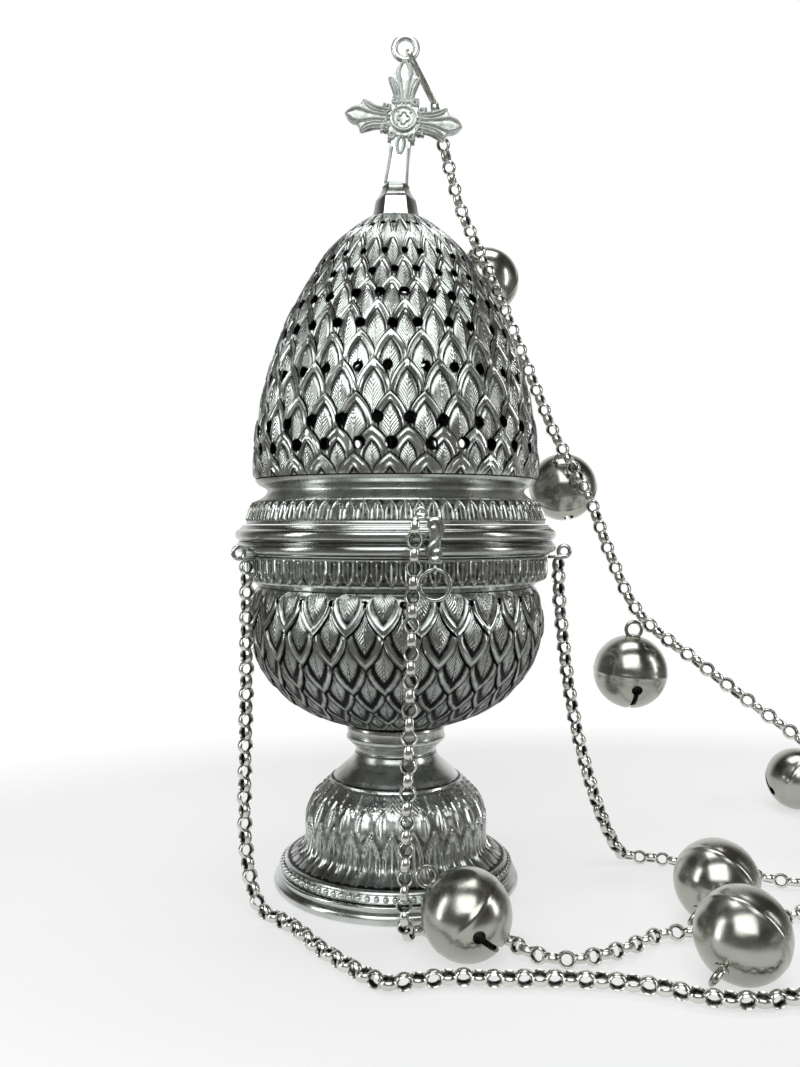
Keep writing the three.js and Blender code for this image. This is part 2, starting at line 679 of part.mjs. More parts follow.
// The bracket stands in front of both rims, on a tongue that reaches under the bowl rim
const bracketBack = -(rimRadius + seam);
const bracketFront = bracketBack - bracketDepth;
const bracketBottom = rimBase - seam - lugTongue;
const bracketTop = bracketBottom + bracketRise + lugTongue;
const bracketMiddleY = (bracketBack + bracketFront) / 2;
const bracketPost = box(bracketWidth, bracketDepth, bracketTop - bracketBottom,
  vec(bracketX, bracketMiddleY, (bracketTop + bracketBottom) / 2));
const tongueBack = -(bowlBandRadius + seam);
const bracketTongue = box(bracketWidth, tongueBack - bracketFront, lugTongue,
  vec(bracketX, (bracketFront + tongueBack) / 2, bracketBottom + lugTongue / 2));
const frontChainTop = vec(...frontChain[0]);
const armBase = frontChainTop.z + seam;
const armEnd = frontChainTop.x - chainRadius / 2;
const armWidth = bracketX - armEnd;
const bracketArm = box(armWidth, bracketArmDepth, bracketArmThickness,
  vec(armEnd + armWidth / 2, frontChainTop.y, armBase + bracketArmThickness / 2));
const ringEyeY = bracketBack - ringEyeDepth / 2;
const ringEyeZ = bracketBottom - ringHoleDrop;
const ringEyeTop = bracketBottom + lugTongue / 2;
const ringEye = box(ringEyeWidth, ringEyeDepth, ringEyeHeight,
  vec(bracketX, ringEyeY, ringEyeTop - ringEyeHeight / 2));
const ringHole = new THREE.CylinderGeometry(lugHoleRadius, lugHoleRadius, 3 * ringEyeWidth, hexSides);
ringHole.rotateZ(Math.PI / 2).translate(bracketX, ringEyeY, ringEyeZ);
const bracket = toSolid(bracketPost).add(toSolid(bracketTongue)).add(toSolid(bracketArm))
  .add(toSolid(ringEye)).subtract(toSolid(ringHole));
addPiece('lug_front', fromSolid(bracket), silver());
const looseRing = torus(looseRingRadius, looseRingWire, 5, 12).rotateX(Math.PI / 2);
looseRing.translate(bracketX, ringEyeY, ringEyeZ - looseRingRadius);
addPiece('loose_ring', looseRing, silver());

// Bells: hollow balls with a slit, a wire loop and a loose pellet inside

const bellReach = bellRadius + bellLoopHeight + seam + chainRadius;

function bellSolid() {
  const rows = bellSides / 2;
  const shell = new THREE.SphereGeometry(bellRadius, bellSides, rows).rotateX(Math.PI / 2);
  const hollow = new THREE.SphereGeometry(bellRadius - bellWall, bellSides, rows).rotateX(Math.PI / 2);
  const slitDepth = bellRadius - bellSlitStart;
  const slit = box(bellSlitWidth, 2.2 * bellRadius, slitDepth, vec(0, 0, -bellSlitStart - slitDepth / 2));
  const loopRadius = bellLoopHeight / 2;
  const loop = torus(loopRadius, bellLoopWire, 4, 6).rotateX(Math.PI / 2);
  loop.translate(0, 0, bellRadius + bellLoopHeight - loopRadius - bellLoopWire);
  return toSolid(shell).add(toSolid(loop)).subtract(toSolid(hollow)).subtract(toSolid(slit));
}

const bellGeometry = fromSolid(bellSolid());
const pelletGeometry = new THREE.IcosahedronGeometry(pelletRadius, 0);
const facetFloor = 0.9; // share of the inner radius at which a pellet finds the lowest facet
const slitFloor = 0.97; // the same where the bell hangs upright and its slit is lowest

// A bell that hangs from its chain is given by the way it hangs, and one on the table by its heading.
// Its slack is the play on the chain, which is less where the chain's straight facets cut a bend short.
const hangingBells = [
  { at: [26.1, 23, 207.6], hangs: [5.4, 16, -10], slack: 0.6 },
  { at: [55.4, 21, 137.3], hangs: [3, 14.6, -13], slack: 0.3 },
  { at: [77.4, 8.4, 84.2], hangs: [-1.4, 0.8, -18], slack: 1.15, floor: slitFloor },
];
const tableBells = [
  { at: [3.5, -54.3, 25], heading: -10, slack: 0.6 },
  { at: [77.4, -46.4, 2.6], heading: 45, slack: 0 },
  { at: [71.4, -81.4, 2.6], heading: 43, slack: 0.6 },
  { at: [133, -93, 2.6], heading: 262, slack: 0.3 },
  { at: [190, -97, 2.6], heading: 300, slack: -0.4 },
  { at: [188, -86, 2.6], heading: 125, slack: 0.6 },
  { at: [155, 16, 2.6], heading: 350, slack: -0.1 },
  { at: [170, 64, 2.6], heading: 140, slack: 0 },
  { at: [240, 37, 2.6], heading: 190, slack: 0.6 },
];

const bellPlaces = hangingBells.map(({ at, hangs, slack, floor = facetFloor }) => {
  const direction = vec(...hangs).normalize();
  return { centre: vec(...at).addScaledVector(direction, bellReach + slack), up: direction.negate(), floor };
});
for (const { at, heading, slack } of tableBells) {
  const drop = bellRadius - at[2];
  const across = Math.sqrt((bellReach + slack) ** 2 - drop ** 2);
  const angle = THREE.MathUtils.degToRad(heading);
  const centre = vec(at[0] + across * Math.cos(angle), at[1] + across * Math.sin(angle), bellRadius);
  bellPlaces.push({ centre, up: vec(...at).sub(centre).normalize(), floor: facetFloor });
}
bellPlaces.forEach(({ centre, up, floor }, i) => {
  const number = String(i + 1).padStart(2, '0');
  const bell = addPiece(`bell_${number}`, bellGeometry, polishedBell());
  bell.position.copy(centre);
  bell.quaternion.setFromUnitVectors(vec(0, 0, 1), up);
  const pellet = addPiece(`pellet_${number}`, pelletGeometry, steel());
  const pelletDrop = floor * (bellRadius - bellWall) - pelletRadius - seam;
  pellet.position.copy(centre).add(vec(0, 0, -pelletDrop));
});

// Chain cap that gathers the four chains, with its finger ring lying over to one side

const capOuter = [[capRadius, 0], [capRadius, 2.2], [0.9 * capRadius, 0.42 * capHeight],
  [0.66 * capRadius, 0.76 * capHeight], [0.3 * capRadius, capHeight], [boltHole, capHeight]];
let capSolid = toSolid(spunShell(capOuter, capWall, smallSides));
for (let i = 0; i < 4; i += 1) {
  const lugEnd = capRadius + capLugLength;
  const lugRoot = capRadius - capWall / 2;
  const lug = box(lugEnd - lugRoot, capLugWidth, capLugHeight, vec((lugEnd + lugRoot) / 2, 0, chainRest));
  capSolid = capSolid.add(toSolid(lug.rotateZ((i * Math.PI) / 2)));
}
addPiece('cap_dome', fromSolid(capSolid).translate(capX, capY, 0), silver());

const capEyeCentre = capHeight + seam + capEyeFlange + capEyeRadius;
const eyeBase = ring(0, capEyeFlangeRadius, capHeight + seam, capHeight + seam + capEyeFlange, fastenerSides);
const studBottom = capHeight - capWall - capEyeStudTail;
const eyeStud = ring(0, boltRadius, studBottom, capHeight + seam + capEyeFlange / 2, fastenerSides);
const capEyeLoop = torus(capEyeRadius, capEyeWire, 6, 12).rotateX(Math.PI / 2).translate(0, 0, capEyeCentre);
const capEye = toSolid(eyeBase).add(toSolid(eyeStud)).add(toSolid(capEyeLoop));
const ringTurn = THREE.MathUtils.degToRad(fingerRingHeading);
addPiece('cap_eye', fromSolid(capEye).rotateZ(ringTurn).translate(capX, capY, 0), silver());

const ringLean = Math.asin((capEyeCentre - fingerRingWire) / (2 * fingerRingRadius));
const fingerRing = torus(fingerRingRadius, fingerRingWire, 6, 20).translate(fingerRingRadius, 0, 0);
fingerRing.rotateY(ringLean).rotateZ(ringTurn).translate(capX, capY, capEyeCentre);
addPiece('finger_ring', fingerRing, silver());

export default censer;
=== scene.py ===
# Fine surface of a hanging church censer, built piece by piece on its frame.
# The frame is in metres, +Z up, with the viewer on the -Y side. Outlines, routes and the places of the bells
# are in millimetres, headings and tilts in degrees.

import math
import random

import bmesh
import bpy
import numpy as np
from bpy.props import FloatProperty, FloatVectorProperty, IntProperty, PointerProperty
from mathutils import Matrix, Vector


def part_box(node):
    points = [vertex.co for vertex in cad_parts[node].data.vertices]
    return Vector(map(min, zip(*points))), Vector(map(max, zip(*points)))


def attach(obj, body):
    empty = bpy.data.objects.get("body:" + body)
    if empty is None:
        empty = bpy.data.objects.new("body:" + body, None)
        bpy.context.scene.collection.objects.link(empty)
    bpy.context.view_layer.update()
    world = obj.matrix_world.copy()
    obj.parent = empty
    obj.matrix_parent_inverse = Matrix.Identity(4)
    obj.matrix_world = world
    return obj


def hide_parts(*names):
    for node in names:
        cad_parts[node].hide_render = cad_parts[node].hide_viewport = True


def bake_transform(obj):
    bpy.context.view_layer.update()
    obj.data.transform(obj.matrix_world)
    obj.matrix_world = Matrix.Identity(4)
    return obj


bl_info = {
    "name": "Hanging Censer",
    "version": (1, 0, 0),
    "blender": (4, 5, 0),
    "location": "3D View > Sidebar > Censer",
    "description": "Builds the embossed shells, chains, bells and finishes of a hanging church censer",
    "category": "Object",
}

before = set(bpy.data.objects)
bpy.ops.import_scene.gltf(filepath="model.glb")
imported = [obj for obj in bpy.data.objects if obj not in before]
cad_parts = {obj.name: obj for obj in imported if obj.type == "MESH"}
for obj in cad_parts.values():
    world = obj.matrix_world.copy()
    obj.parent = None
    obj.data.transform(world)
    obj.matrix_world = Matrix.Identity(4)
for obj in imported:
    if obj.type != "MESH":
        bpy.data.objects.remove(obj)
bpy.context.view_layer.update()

MM = 0.001
TURN = 2 * math.pi
DOUBLES = 2e-6  # points closer than this are one
LEAF_DOUBLES = 8e-6
ON_PLANE = 1e-6  # how near a cutting plane a point counts as on it
SURFACE_STEP = 0.25  # millimetres between the points that a surface is read at

# Camera: height of the picture, focal length and row of the horizon in pixels; the rest in metres, SENSOR in mm
IMAGE_HEIGHT = 1067
FOCAL_PIXELS = 968
HORIZON_ROW = 525
CAMERA_DISTANCE = 0.304
CAMERA_HEIGHT = 0.111
CAMERA_SIDE = 0.0013
SENSOR = 36


def metres(length):
    """A length in millimetres, in metres"""
    return round(length * MM, 7)


def in_metres(points):
    """Points in millimetres, in metres; a point without a height lies on the table"""
    return [tuple(metres(part) for part in (*point, CHAIN_ON_TABLE)[:3]) for point in points]


# Routes of the chains in millimetres, from the censer to the chain cap
CHAIN_ON_TABLE = 2.6
LID_CHAIN_UPPER = in_metres([
    (12.2, 4.4, 245.3), (13.8, 7, 239), (15.8, 10.2, 232.4), (18.3, 14, 225), (21, 18, 217.4),
    (26.1, 23, 207.6), (31.9, 24, 195.7), (35.8, 23.4, 186), (41.8, 22.4, 170.3), (48, 22, 154.4),
    (53.7, 21.4, 140.5), (59.9, 20.2, 129.4), (64.1, 19, 121), (69.9, 15, 102.8), (76, 9.4, 86.4),
    (80.4, 6.2, 79.9), (86.9, 2.6, 74), (93, -0.6, 69.4),
])
LID_CHAIN_LOWER = in_metres([
    (93, -0.6, 69.4), (98.9, -3.8, 64.4), (104.9, -6.9, 59.5), (110.6, -9.8, 55), (116.3, -12.6, 50.6),
    (122, -15.2, 46), (132, -18, 36.5), (142, -20.4, 25.4), (151, -24, 14.6), (157, -28, 6.6),
    (161.6, -29.8, 3), (164.6, -30), (167.8, -30),
])
LEFT_CHAIN = in_metres([
    (-42.9, -25, 100.7), (-42.9, -25, 90), (-42.9, -25.2, 78), (-42.9, -26, 60.7), (-43, -27, 43.8),
    (-43, -28, 27), (-42.3, -29, 17.6), (-40.4, -30.4, 8.6), (-37.6, -32.6, 3.6), (-33.4, -36.2),
    (-28.8, -41), (-24.9, -46.4), (-21, -53.3), (-15.9, -60.3), (-9.1, -68.5), (-2, -74.6), (7, -73),
    (15.8, -71.8), (24, -72.6), (34, -72.4), (44, -73), (52.3, -74), (60.3, -76.2), (66, -78.6),
    (71.4, -81.4), (78, -83), (86, -83), (94, -81), (104, -80.6), (118, -84), (133, -93), (152, -101),
    (172, -103), (190, -97), (205, -86), (216, -72), (223, -57), (224, -43), (220.5, -33.5), (216, -30.4),
    (212.2, -30),
])
RIGHT_CHAIN = in_metres([
    (49.5, -9.2, 100.7), (49.7, -9.2, 90), (51.2, -8.4, 74.6), (53.3, -7, 59.8), (56.3, -6, 45.1),
    (60.9, -3, 29.5), (64.3, 1, 20.6), (68.9, 6.4, 11), (73.2, 10.8, 4.6), (78.4, 12.6), (85, 10.8),
    (92, 6.6), (102, 1.2), (112, -5.6), (122, -10.6), (135, -10), (148, -1), (155, 16), (159, 40),
    (170, 64), (191, 80), (217, 78), (236, 61), (240, 37), (228, 17), (211, 10.4), (197, 8.4), (190.6, 0.4),
    (190, -4), (190, -7.8),
])
FRONT_CHAIN = in_metres([
    (5.2, -54.9, 112.6), (5, -54.9, 102), (4.4, -54.9, 86.5), (3.9, -54.8, 65.8), (3.4, -54.6, 45.1),
    (2.8, -54.2, 24.5), (2.4, -53, 11), (3.2, -49, 3.8), (7, -44.6), (13, -42.2), (20, -42.2), (26.6, -46),
    (31, -53.4), (36, -60), (43, -62.6), (50.4, -60.6), (57.4, -57), (64, -52.4), (70.6, -47.6),
    (77.4, -46.4), (84.4, -48), (92.4, -47), (101, -42.6), (111, -34.6), (122, -30), (135, -28), (149, -33),
    (157, -47), (150, -61), (135, -69), (138, -83), (155, -91), (173, -91.6), (188, -86), (197, -76),
    (196, -65.5), (190.8, -59), (190, -56), (190, -52.2),
])

# Bells, each with the point that it is tied to, the way it hangs or its heading on the table, and its slack
BELL_LOOP_HEIGHT = 0.005
BELL_GAP = 0.0003
CHAIN_HALF = 0.00245
HANGING_BELLS = [
    ("bell_high", (26.1, 23, 207.6), (5.4, 16, -10), 0.6),
    ("bell_middle", (55.4, 21, 137.3), (3, 14.6, -13), 0.3),
    ("bell_low", (77.4, 8.4, 84.2), (-1.4, 0.8, -18), 1.15),
]
TABLE_BELLS = [
    ((3.5, -54.3, 25), -10, 0.6), ((77.4, -46.4), 45, 0), ((71.4, -81.4), 43, 0.6), ((133, -93), 262, 0.3),
    ((190, -97), 300, -0.4), ((188, -86), 125, 0.6), ((155, 16), 350, -0.1), ((170, 64), 140, 0),
    ((240, 37), 190, 0.6),
]

# Outlines of the turned pieces as (radius, height) in millimetres
FOOT_OUTLINE = [
    (35.9, 5.7), (35.4, 6.2), (34.9, 7), (34.6, 7.5), (34.7, 8), (34.2, 8.6), (33.3, 8.9), (32.2, 9.4),
    (30.3, 10.6), (28.6, 12), (27.9, 13.6), (27.6, 16), (27.7, 19), (27.6, 21.6), (27.1, 23.6),
    (26.3, 25.4), (25.2, 27.2), (23.6, 29), (21.8, 30.7), (20.6, 32), (20.4, 32.7), (19.5, 33.1),
    (18.2, 34.5), (16, 36.4), (13.8, 38.3), (12.7, 40.2),
]
FOOT_INNER = [
    (34, 5.7), (32.6, 7.8), (29, 10.4), (26.5, 13), (26.4, 20), (25.2, 25), (22.2, 28.6), (16.8, 34),
    (11.5, 39.2),
]
BOWL_OUTLINE = [
    (16.3, 50), (22.6, 52.1), (27.4, 54.3), (30.6, 56.2), (33.3, 58.1), (35.4, 60), (37, 61.9),
    (38.7, 63.8), (40.1, 65.9), (41.4, 67.7), (42.4, 69.6), (43.6, 73.3), (44.6, 77), (45, 81),
    (44.8, 84.3), (43.9, 88), (43, 91), (42.7, 92.2),
]
BOWL_INNER = [
    (16, 51.2), (22.2, 53.3), (29.4, 57.2), (35.4, 62.2), (40.2, 68.6), (42.8, 76), (43.2, 83),
    (41.5, 92.2),
]
BOWL_BAND_OUTLINE = [
    (43, 92.5), (43.6, 93.1), (45.1, 94.3), (46.4, 95.4), (46.6, 97), (46.6, 99.4), (46.7, 101.7),
]
BOWL_BAND_INNER = [(41.8, 92.5), (45, 95.6), (45.4, 101.7)]
LID_BAND_OUTLINE = [
    (46.3, 111.3), (46.2, 112.5), (45.9, 113.8), (45.3, 115.6), (44.6, 117), (43.2, 118.3), (41.7, 119.2),
    (40.4, 120.3), (39.9, 121.3), (40.5, 122.2), (42.2, 123), (43.2, 123.9), (43.7, 124.7),
]
LID_BAND_INNER = [(45, 111.3), (44, 115.8), (40.4, 118.4), (38.7, 121.3), (42, 124.7)]
DOME_OUTLINE = [
    (43.5, 125.1), (43.6, 128), (43.3, 134), (42.8, 139.6), (41.7, 145.2), (40.9, 150.8), (39.5, 156.4),
    (37.9, 162), (36, 167.6), (33.7, 173.3), (31, 179), (27.9, 184.8), (24.6, 190.5), (22.1, 194.4),
    (18.6, 198.3), (14.4, 202.2), (9.8, 206), (6, 209.5), (3, 213), (1.5, 218),
]
DOME_INNER = [
    (42, 125.1), (42, 134), (39.8, 150), (34.8, 167.4), (26.8, 184.2), (17.6, 197.4), (8.6, 204.6),
]


class CenserSizes(bpy.types.PropertyGroup):
    """Sizes that a user would change"""

    leaves: IntProperty(name="Leaves", description="Embossed leaves in one row", default=28, min=12, max=60)
    tongues: IntProperty(name="Tongues", description="Tongues round each band", default=75, min=20, max=120)
    beads: IntProperty(name="Beads", description="Beads round the foot", default=84, min=20, max=160)
    leaf_lift: FloatProperty(
        name="Leaf relief", description="How far a leaf's edge stands over the leaf behind it",
        default=0.00095, min=0.0001, max=0.002, unit="LENGTH")
    link_radius: FloatProperty(
        name="Link radius", description="Outer radius of a chain link", default=0.00226, unit="LENGTH")
    link_pitch: FloatProperty(
        name="Link pitch", description="Distance from one link to the next", default=0.00364, unit="LENGTH")
    link_width: FloatProperty(
        name="Link band", description="Half the width of a link's band", default=0.00108, unit="LENGTH")
    bell_radius: FloatProperty(
        name="Bell radius", description="Outer radius of a jingle bell", default=0.0117, unit="LENGTH")


def colour(name, description, default):
    """A colour that the panel shows"""
    return FloatVectorProperty(
        name=name, description=description, default=default, size=3, subtype="COLOR", min=0, max=1)


class CenserColours(bpy.types.PropertyGroup):
    """Colours of the finishes"""

    silver: colour("Silver", "Raised and rubbed silver plate", (0.6, 0.63, 0.61))
    tarnish: colour("Tarnish", "Dull patches on the plate", (0.3, 0.3, 0.265))
    # Film and shade: dark patina in the grooves, laid darker in the recesses as painted shade
    film_and_shade: colour("Film", "Dark film in the grooves", (0.014, 0.015, 0.014))
    chain: colour("Chain", "Plated links", (0.74, 0.75, 0.7))
    bell: colour("Bell", "Polished bell metal", (0.44, 0.445, 0.4))
    copper: colour("Copper", "Copper of the charcoal cup", (0.5, 0.24, 0.14))
    soot: colour("Soot", "Soot in the cup", (0.02, 0.018, 0.017))
    steel: colour("Steel", "Turned steel of bolt, nuts and pellets", (0.5, 0.5, 0.49))
    floor: colour("Floor", "Pale floor", (0.86, 0.86, 0.855))


def sizes():
    return bpy.context.scene.censer_sizes


def colours():
    return bpy.context.scene.censer_colours


# Selecting, joining and finishing

def only(*pieces):
    """Selects these objects alone and makes the first one active"""
    bpy.ops.object.select_all(action="DESELECT")
    for piece in pieces:
        piece.select_set(True)
    bpy.context.view_layer.objects.active = pieces[0]


def join(name, pieces):
    only(*pieces)
    if len(pieces) > 1:
        bpy.ops.object.join()
    piece = bpy.context.view_layer.objects.active
    piece.name = name
    piece.data.name = name
    return piece


def add_object(name, data):
    """Puts a new object that holds this data in the scene"""
    made = bpy.data.objects.new(name, data)
    bpy.context.scene.collection.objects.link(made)
    return made


def place_in_mesh(piece):
    only(piece)
    bpy.ops.object.transform_apply(location=True, rotation=True, scale=True)
    return piece


def clean(piece, merge=DOUBLES):
    """Merges doubles and turns the faces outwards"""
    only(piece)
    bpy.ops.object.mode_set(mode="EDIT")
    bpy.ops.mesh.select_all(action="SELECT")
    bpy.ops.mesh.remove_doubles(threshold=merge)
    bpy.ops.mesh.normals_make_consistent(inside=False)
    bpy.ops.object.mode_set(mode="OBJECT")
    return piece


def modify(piece, kind, **settings):
    """Adds a modifier and applies it"""
    modifier = piece.modifiers.new(kind.lower(), kind)
    for name, value in settings.items():
        setattr(modifier, name, value)
    only(piece)
    bpy.ops.object.modifier_apply(modifier=modifier.name)
    return piece


def finish_piece(piece, look, body, nodes, angle=38):
    """Gives a new piece its finish, its shading and its body, and hides the nodes that it stands for"""
    piece.data.materials.clear()
    piece.data.materials.append(finish(look))
    only(piece)
    bpy.ops.object.shade_smooth_by_angle(angle=math.radians(angle))
    if body:
        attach(piece, body)
    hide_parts(*nodes)
    return piece


def dress_node(name, look):
    """Gives a CAD node that stays its finish"""
    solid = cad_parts[name]
    solid.data.materials.clear()
    solid.data.materials.append(finish(look))


def coordinates(mesh):
    flat = np.empty(len(mesh.vertices) * 3)
    mesh.vertices.foreach_get("co", flat)
    return flat.reshape(-1, 3)


def set_coordinates(mesh, places):
    mesh.vertices.foreach_set("co", np.asarray(places, float).ravel())
    mesh.update()


def set_relief(mesh, values):
    """Keeps how far each point stands out of the recesses, which the finishes read to lay dark patina and
    painted shade there
    """
    layer = mesh.attributes.get("relief") or mesh.attributes.new("relief", "FLOAT", "POINT")
    layer.data.foreach_set("value", np.asarray(values, np.float32))


def even_relief(piece, value):
    set_relief(piece.data, np.full(len(piece.data.vertices), value))


def held(values):
    """The same values, held between 0 and 1"""
    return np.clip(values, 0, 1)


# Turned pieces

def smooth_outline(points, step):
    """The same outline with points about step apart on a smooth curve through the given ones"""
    given = np.array(points, float)
    padded = np.vstack([2 * given[0] - given[1], given, 2 * given[-1] - given[-2]])
    dense = []
    for before, start, end, after in zip(padded, padded[1:], padded[2:], padded[3:]):
        parts = max(1, round(float(np.linalg.norm(end - start)) / step))
        for t in np.arange(parts) / parts:
            dense.append(0.5 * (
                2 * start + (end - before) * t + (2 * before - 5 * start + 4 * end - after) * t**2
                + (3 * start - before - 3 * end + after) * t**3))
    dense.append(given[-1])
    return [tuple(point) for point in dense]


def surface_of(outline):
    """Heights along a turned surface, with its radius and its slope at each"""
    dense = np.array(smooth_outline(outline, SURFACE_STEP))
    order = np.argsort(dense[:, 1])
    heights, radii = dense[order, 1], dense[order, 0]
    return heights, radii, np.gradient(radii, heights)


def arc(radius, height, size, first, last, parts):
    """Points of a round stretch about (radius, height), from one angle in degrees to another"""
    angles = np.radians(np.linspace(first, last, parts + 1))
    return [(radius + size * math.cos(a), height + size * math.sin(a)) for a in angles]


def spun(name, outline, steps):
    """A piece turned about the Z axis; it is a closed ring where the outline ends where it starts"""
    (radius, height), *rest = outline
    bpy.ops.object.select_all(action="DESELECT")
    bpy.ops.mesh.primitive_plane_add(size=MM, location=(radius * MM, 0, height * MM))
    piece = bpy.context.active_object
    piece.name = name
    bpy.ops.object.mode_set(mode="EDIT")
    bpy.ops.mesh.select_all(action="SELECT")
    bpy.ops.mesh.merge(type="CENTER")
    for next_radius, next_height in rest:
        step = ((next_radius - radius) * MM, 0, (next_height - height) * MM)
        bpy.ops.mesh.extrude_region_move(TRANSFORM_OT_translate={"value": step})
        radius, height = next_radius, next_height
    bpy.ops.mesh.select_all(action="SELECT")
    bpy.ops.mesh.spin(steps=steps, angle=TURN, center=(0, 0, 0), axis=(0, 0, 1))
    bpy.ops.mesh.select_all(action="SELECT")
    bpy.ops.mesh.remove_doubles(threshold=DOUBLES)
    bpy.ops.mesh.normals_make_consistent(inside=False)
    bpy.ops.object.mode_set(mode="OBJECT")
    return place_in_mesh(piece)


def turned_ring(name, outline, steps):
    """A closed turned piece from an outline that is closed here"""
    return spun(name, [*outline, outline[0]], steps)


def outward_normals(piece):
    mesh = piece.data
    flat = np.empty(len(mesh.vertices) * 3)
    mesh.vertex_normals.foreach_get("vector", flat)
    normals = flat.reshape(-1, 3)
    places = coordinates(mesh)
    outward = (normals[:, :2] * places[:, :2]).sum(1).sum() > 0
    return normals if outward else -normals


def emboss(piece, relief_at):
    """Raises each point by relief_at(angle, height, radius), lengths in millimetres, and keeps its relief"""
    places = coordinates(piece.data)
    angle = np.arctan2(places[:, 1], places[:, 0])
    rise, relief = relief_at(angle, places[:, 2] / MM, np.hypot(places[:, 0], places[:, 1]) / MM)
    set_coordinates(piece.data, places + outward_normals(piece) * (rise * MM)[:, None])
    set_relief(piece.data, relief)
    return piece


def open_ends(work, others=frozenset()):
    """Points of the lower and of the upper open end, in order round the axis, without the others"""
    points = {vertex for edge in work.edges if edge.is_boundary for vertex in edge.verts} - others
    middle = sum(vertex.co.z for vertex in points) / len(points)
    ordered = sorted(points, key=lambda vertex: math.atan2(vertex.co.y, vertex.co.x))
    return [v for v in ordered if v.co.z < middle], [v for v in ordered if v.co.z >= middle]


def close_between(work, outer, inner):
    """Fills the ring between two loops of points that are in order round the axis"""
    def share(loop, number):
        vertex = loop[number % len(loop)]
        return math.atan2(vertex.co.y, vertex.co.x) + TURN * (number // len(loop))

    out, into = 0, 0
    while out < len(outer) or into < len(inner):
        outer_now, inner_now = outer[out % len(outer)], inner[into % len(inner)]
        outer_next = out < len(outer) and share(outer, out + 1) <= share(inner, into + 1)
        if outer_next or into >= len(inner):
            work.faces.new((outer_now, outer[(out + 1) % len(outer)], inner_now))
            out += 1
        else:
            work.faces.new((outer_now, inner[(into + 1) % len(inner)], inner_now))
            into += 1


def walled(outer, inner_outline, steps=112):
    """Gives an open outer skin its inner wall and closes both ends, whose numbers of points differ"""
    inner = spun("inner", inner_outline, steps)
    even_relief(inner, 0.35)
    work = bmesh.new()
    work.from_mesh(outer.data)
    outer_ends = open_ends(work)
    outer_count = len(work.verts)
    work.from_mesh(inner.data)
    work.verts.ensure_lookup_table()
    inner_ends = open_ends(work, set(work.verts[:outer_count]))
    for outer_end, inner_end in zip(outer_ends, inner_ends):
        close_between(work, outer_end, inner_end)
    work.to_mesh(outer.data)
    work.free()
    bpy.data.objects.remove(inner)
    return clean(outer)


def copies(name, template, places):
    """One mesh that holds a copy of the template at each matrix"""
    mesh = template.data
    points = coordinates(mesh)
    faces = [tuple(face.vertices) for face in mesh.polygons]
    layer = mesh.attributes.get("relief")
    relief = np.array([item.value for item in layer.data]) if layer else None
    all_points, all_faces = [], []
    for number, place in enumerate(places):
        turn = np.array(place)
        all_points.append(points @ turn[:3, :3].T + turn[:3, 3])
        start = number * len(points)
        all_faces.extend(tuple(start + corner for corner in face) for face in faces)
    made = bpy.data.meshes.new(name)
    made.from_pydata(np.vstack(all_points), [], all_faces)
    if relief is not None:
        set_relief(made, np.tile(relief, len(places)))
    piece = add_object(name, made)
    bpy.data.objects.remove(template)
    return piece


def wire(name, points, radius, closed=False, smooth=True, swell=None):
    """A round wire along points in metres, as a mesh"""
    curve = bpy.data.curves.new(name, "CURVE")
    curve.dimensions = "3D"
    curve.bevel_depth = radius
    curve.bevel_resolution = 2
    curve.use_fill_caps = True
    spline = curve.splines.new("NURBS" if smooth else "POLY")
    spline.points.add(len(points) - 1)
    for number, place in enumerate(points):
        spline.points[number].co = (*place, 1)
        if swell:
            spline.points[number].radius = swell[number]
    if smooth:
        spline.order_u = min(4, len(points))
        spline.use_endpoint_u = not closed
        spline.resolution_u = 4
    spline.use_cyclic_u = closed
    only(add_object(name, curve))
    bpy.ops.object.convert(target="MESH")
    return bpy.context.active_object


# Finishes

VEINS = 12  # across one unit of a leaf's slant
LATHE_PITCH = 0.00042


def node(tree, kind, inputs=None, **settings):
    made = tree.nodes.new("ShaderNode" + kind)
    for name, value in settings.items():
        setattr(made, name, value)
    for name, value in (inputs or {}).items():
        socket = made.inputs[name]
        if isinstance(value, bpy.types.NodeSocket):
            tree.links.new(value, socket)
        else:
            socket.default_value = value
    return made


def mixed(tree, factor, first, second):
    """A colour between two others"""
    made = node(tree, "Mix", {0: factor, 6: first, 7: second}, data_type="RGBA")
    return made.outputs[2]


def math_node(tree, operation, first, second=0.0):
    return node(tree, "Math", {0: first, 1: second}, operation=operation).outputs[0]


def times(tree, first, second):
    return math_node(tree, "MULTIPLY", first, second)


def plus(tree, first, second):
    return math_node(tree, "ADD", first, second)


def minus(tree, first, second):
    return math_node(tree, "SUBTRACT", first, second)


def larger(tree, first, second):
    return math_node(tree, "MAXIMUM", first, second)


def spread(tree, value, low, high, to_low=0.0, to_high=1.0):
    """Maps a value from one range to another, and holds it there"""
    made = node(tree, "MapRange", {
        "Value": value, "From Min": low, "From Max": high, "To Min": to_low, "To Max": to_high})
    return made.outputs["Result"]


def noise(tree, place, scale, detail):
    made = node(tree, "TexNoise", {"Vector": place, "Scale": scale, "Detail": detail, "Roughness": 0.55})
    return made.outputs["Fac"]


def rgba(value, strength=1.0):
    """A colour for a socket, made brighter or darker if asked"""
    return (*(strength * part for part in value), 1.0)


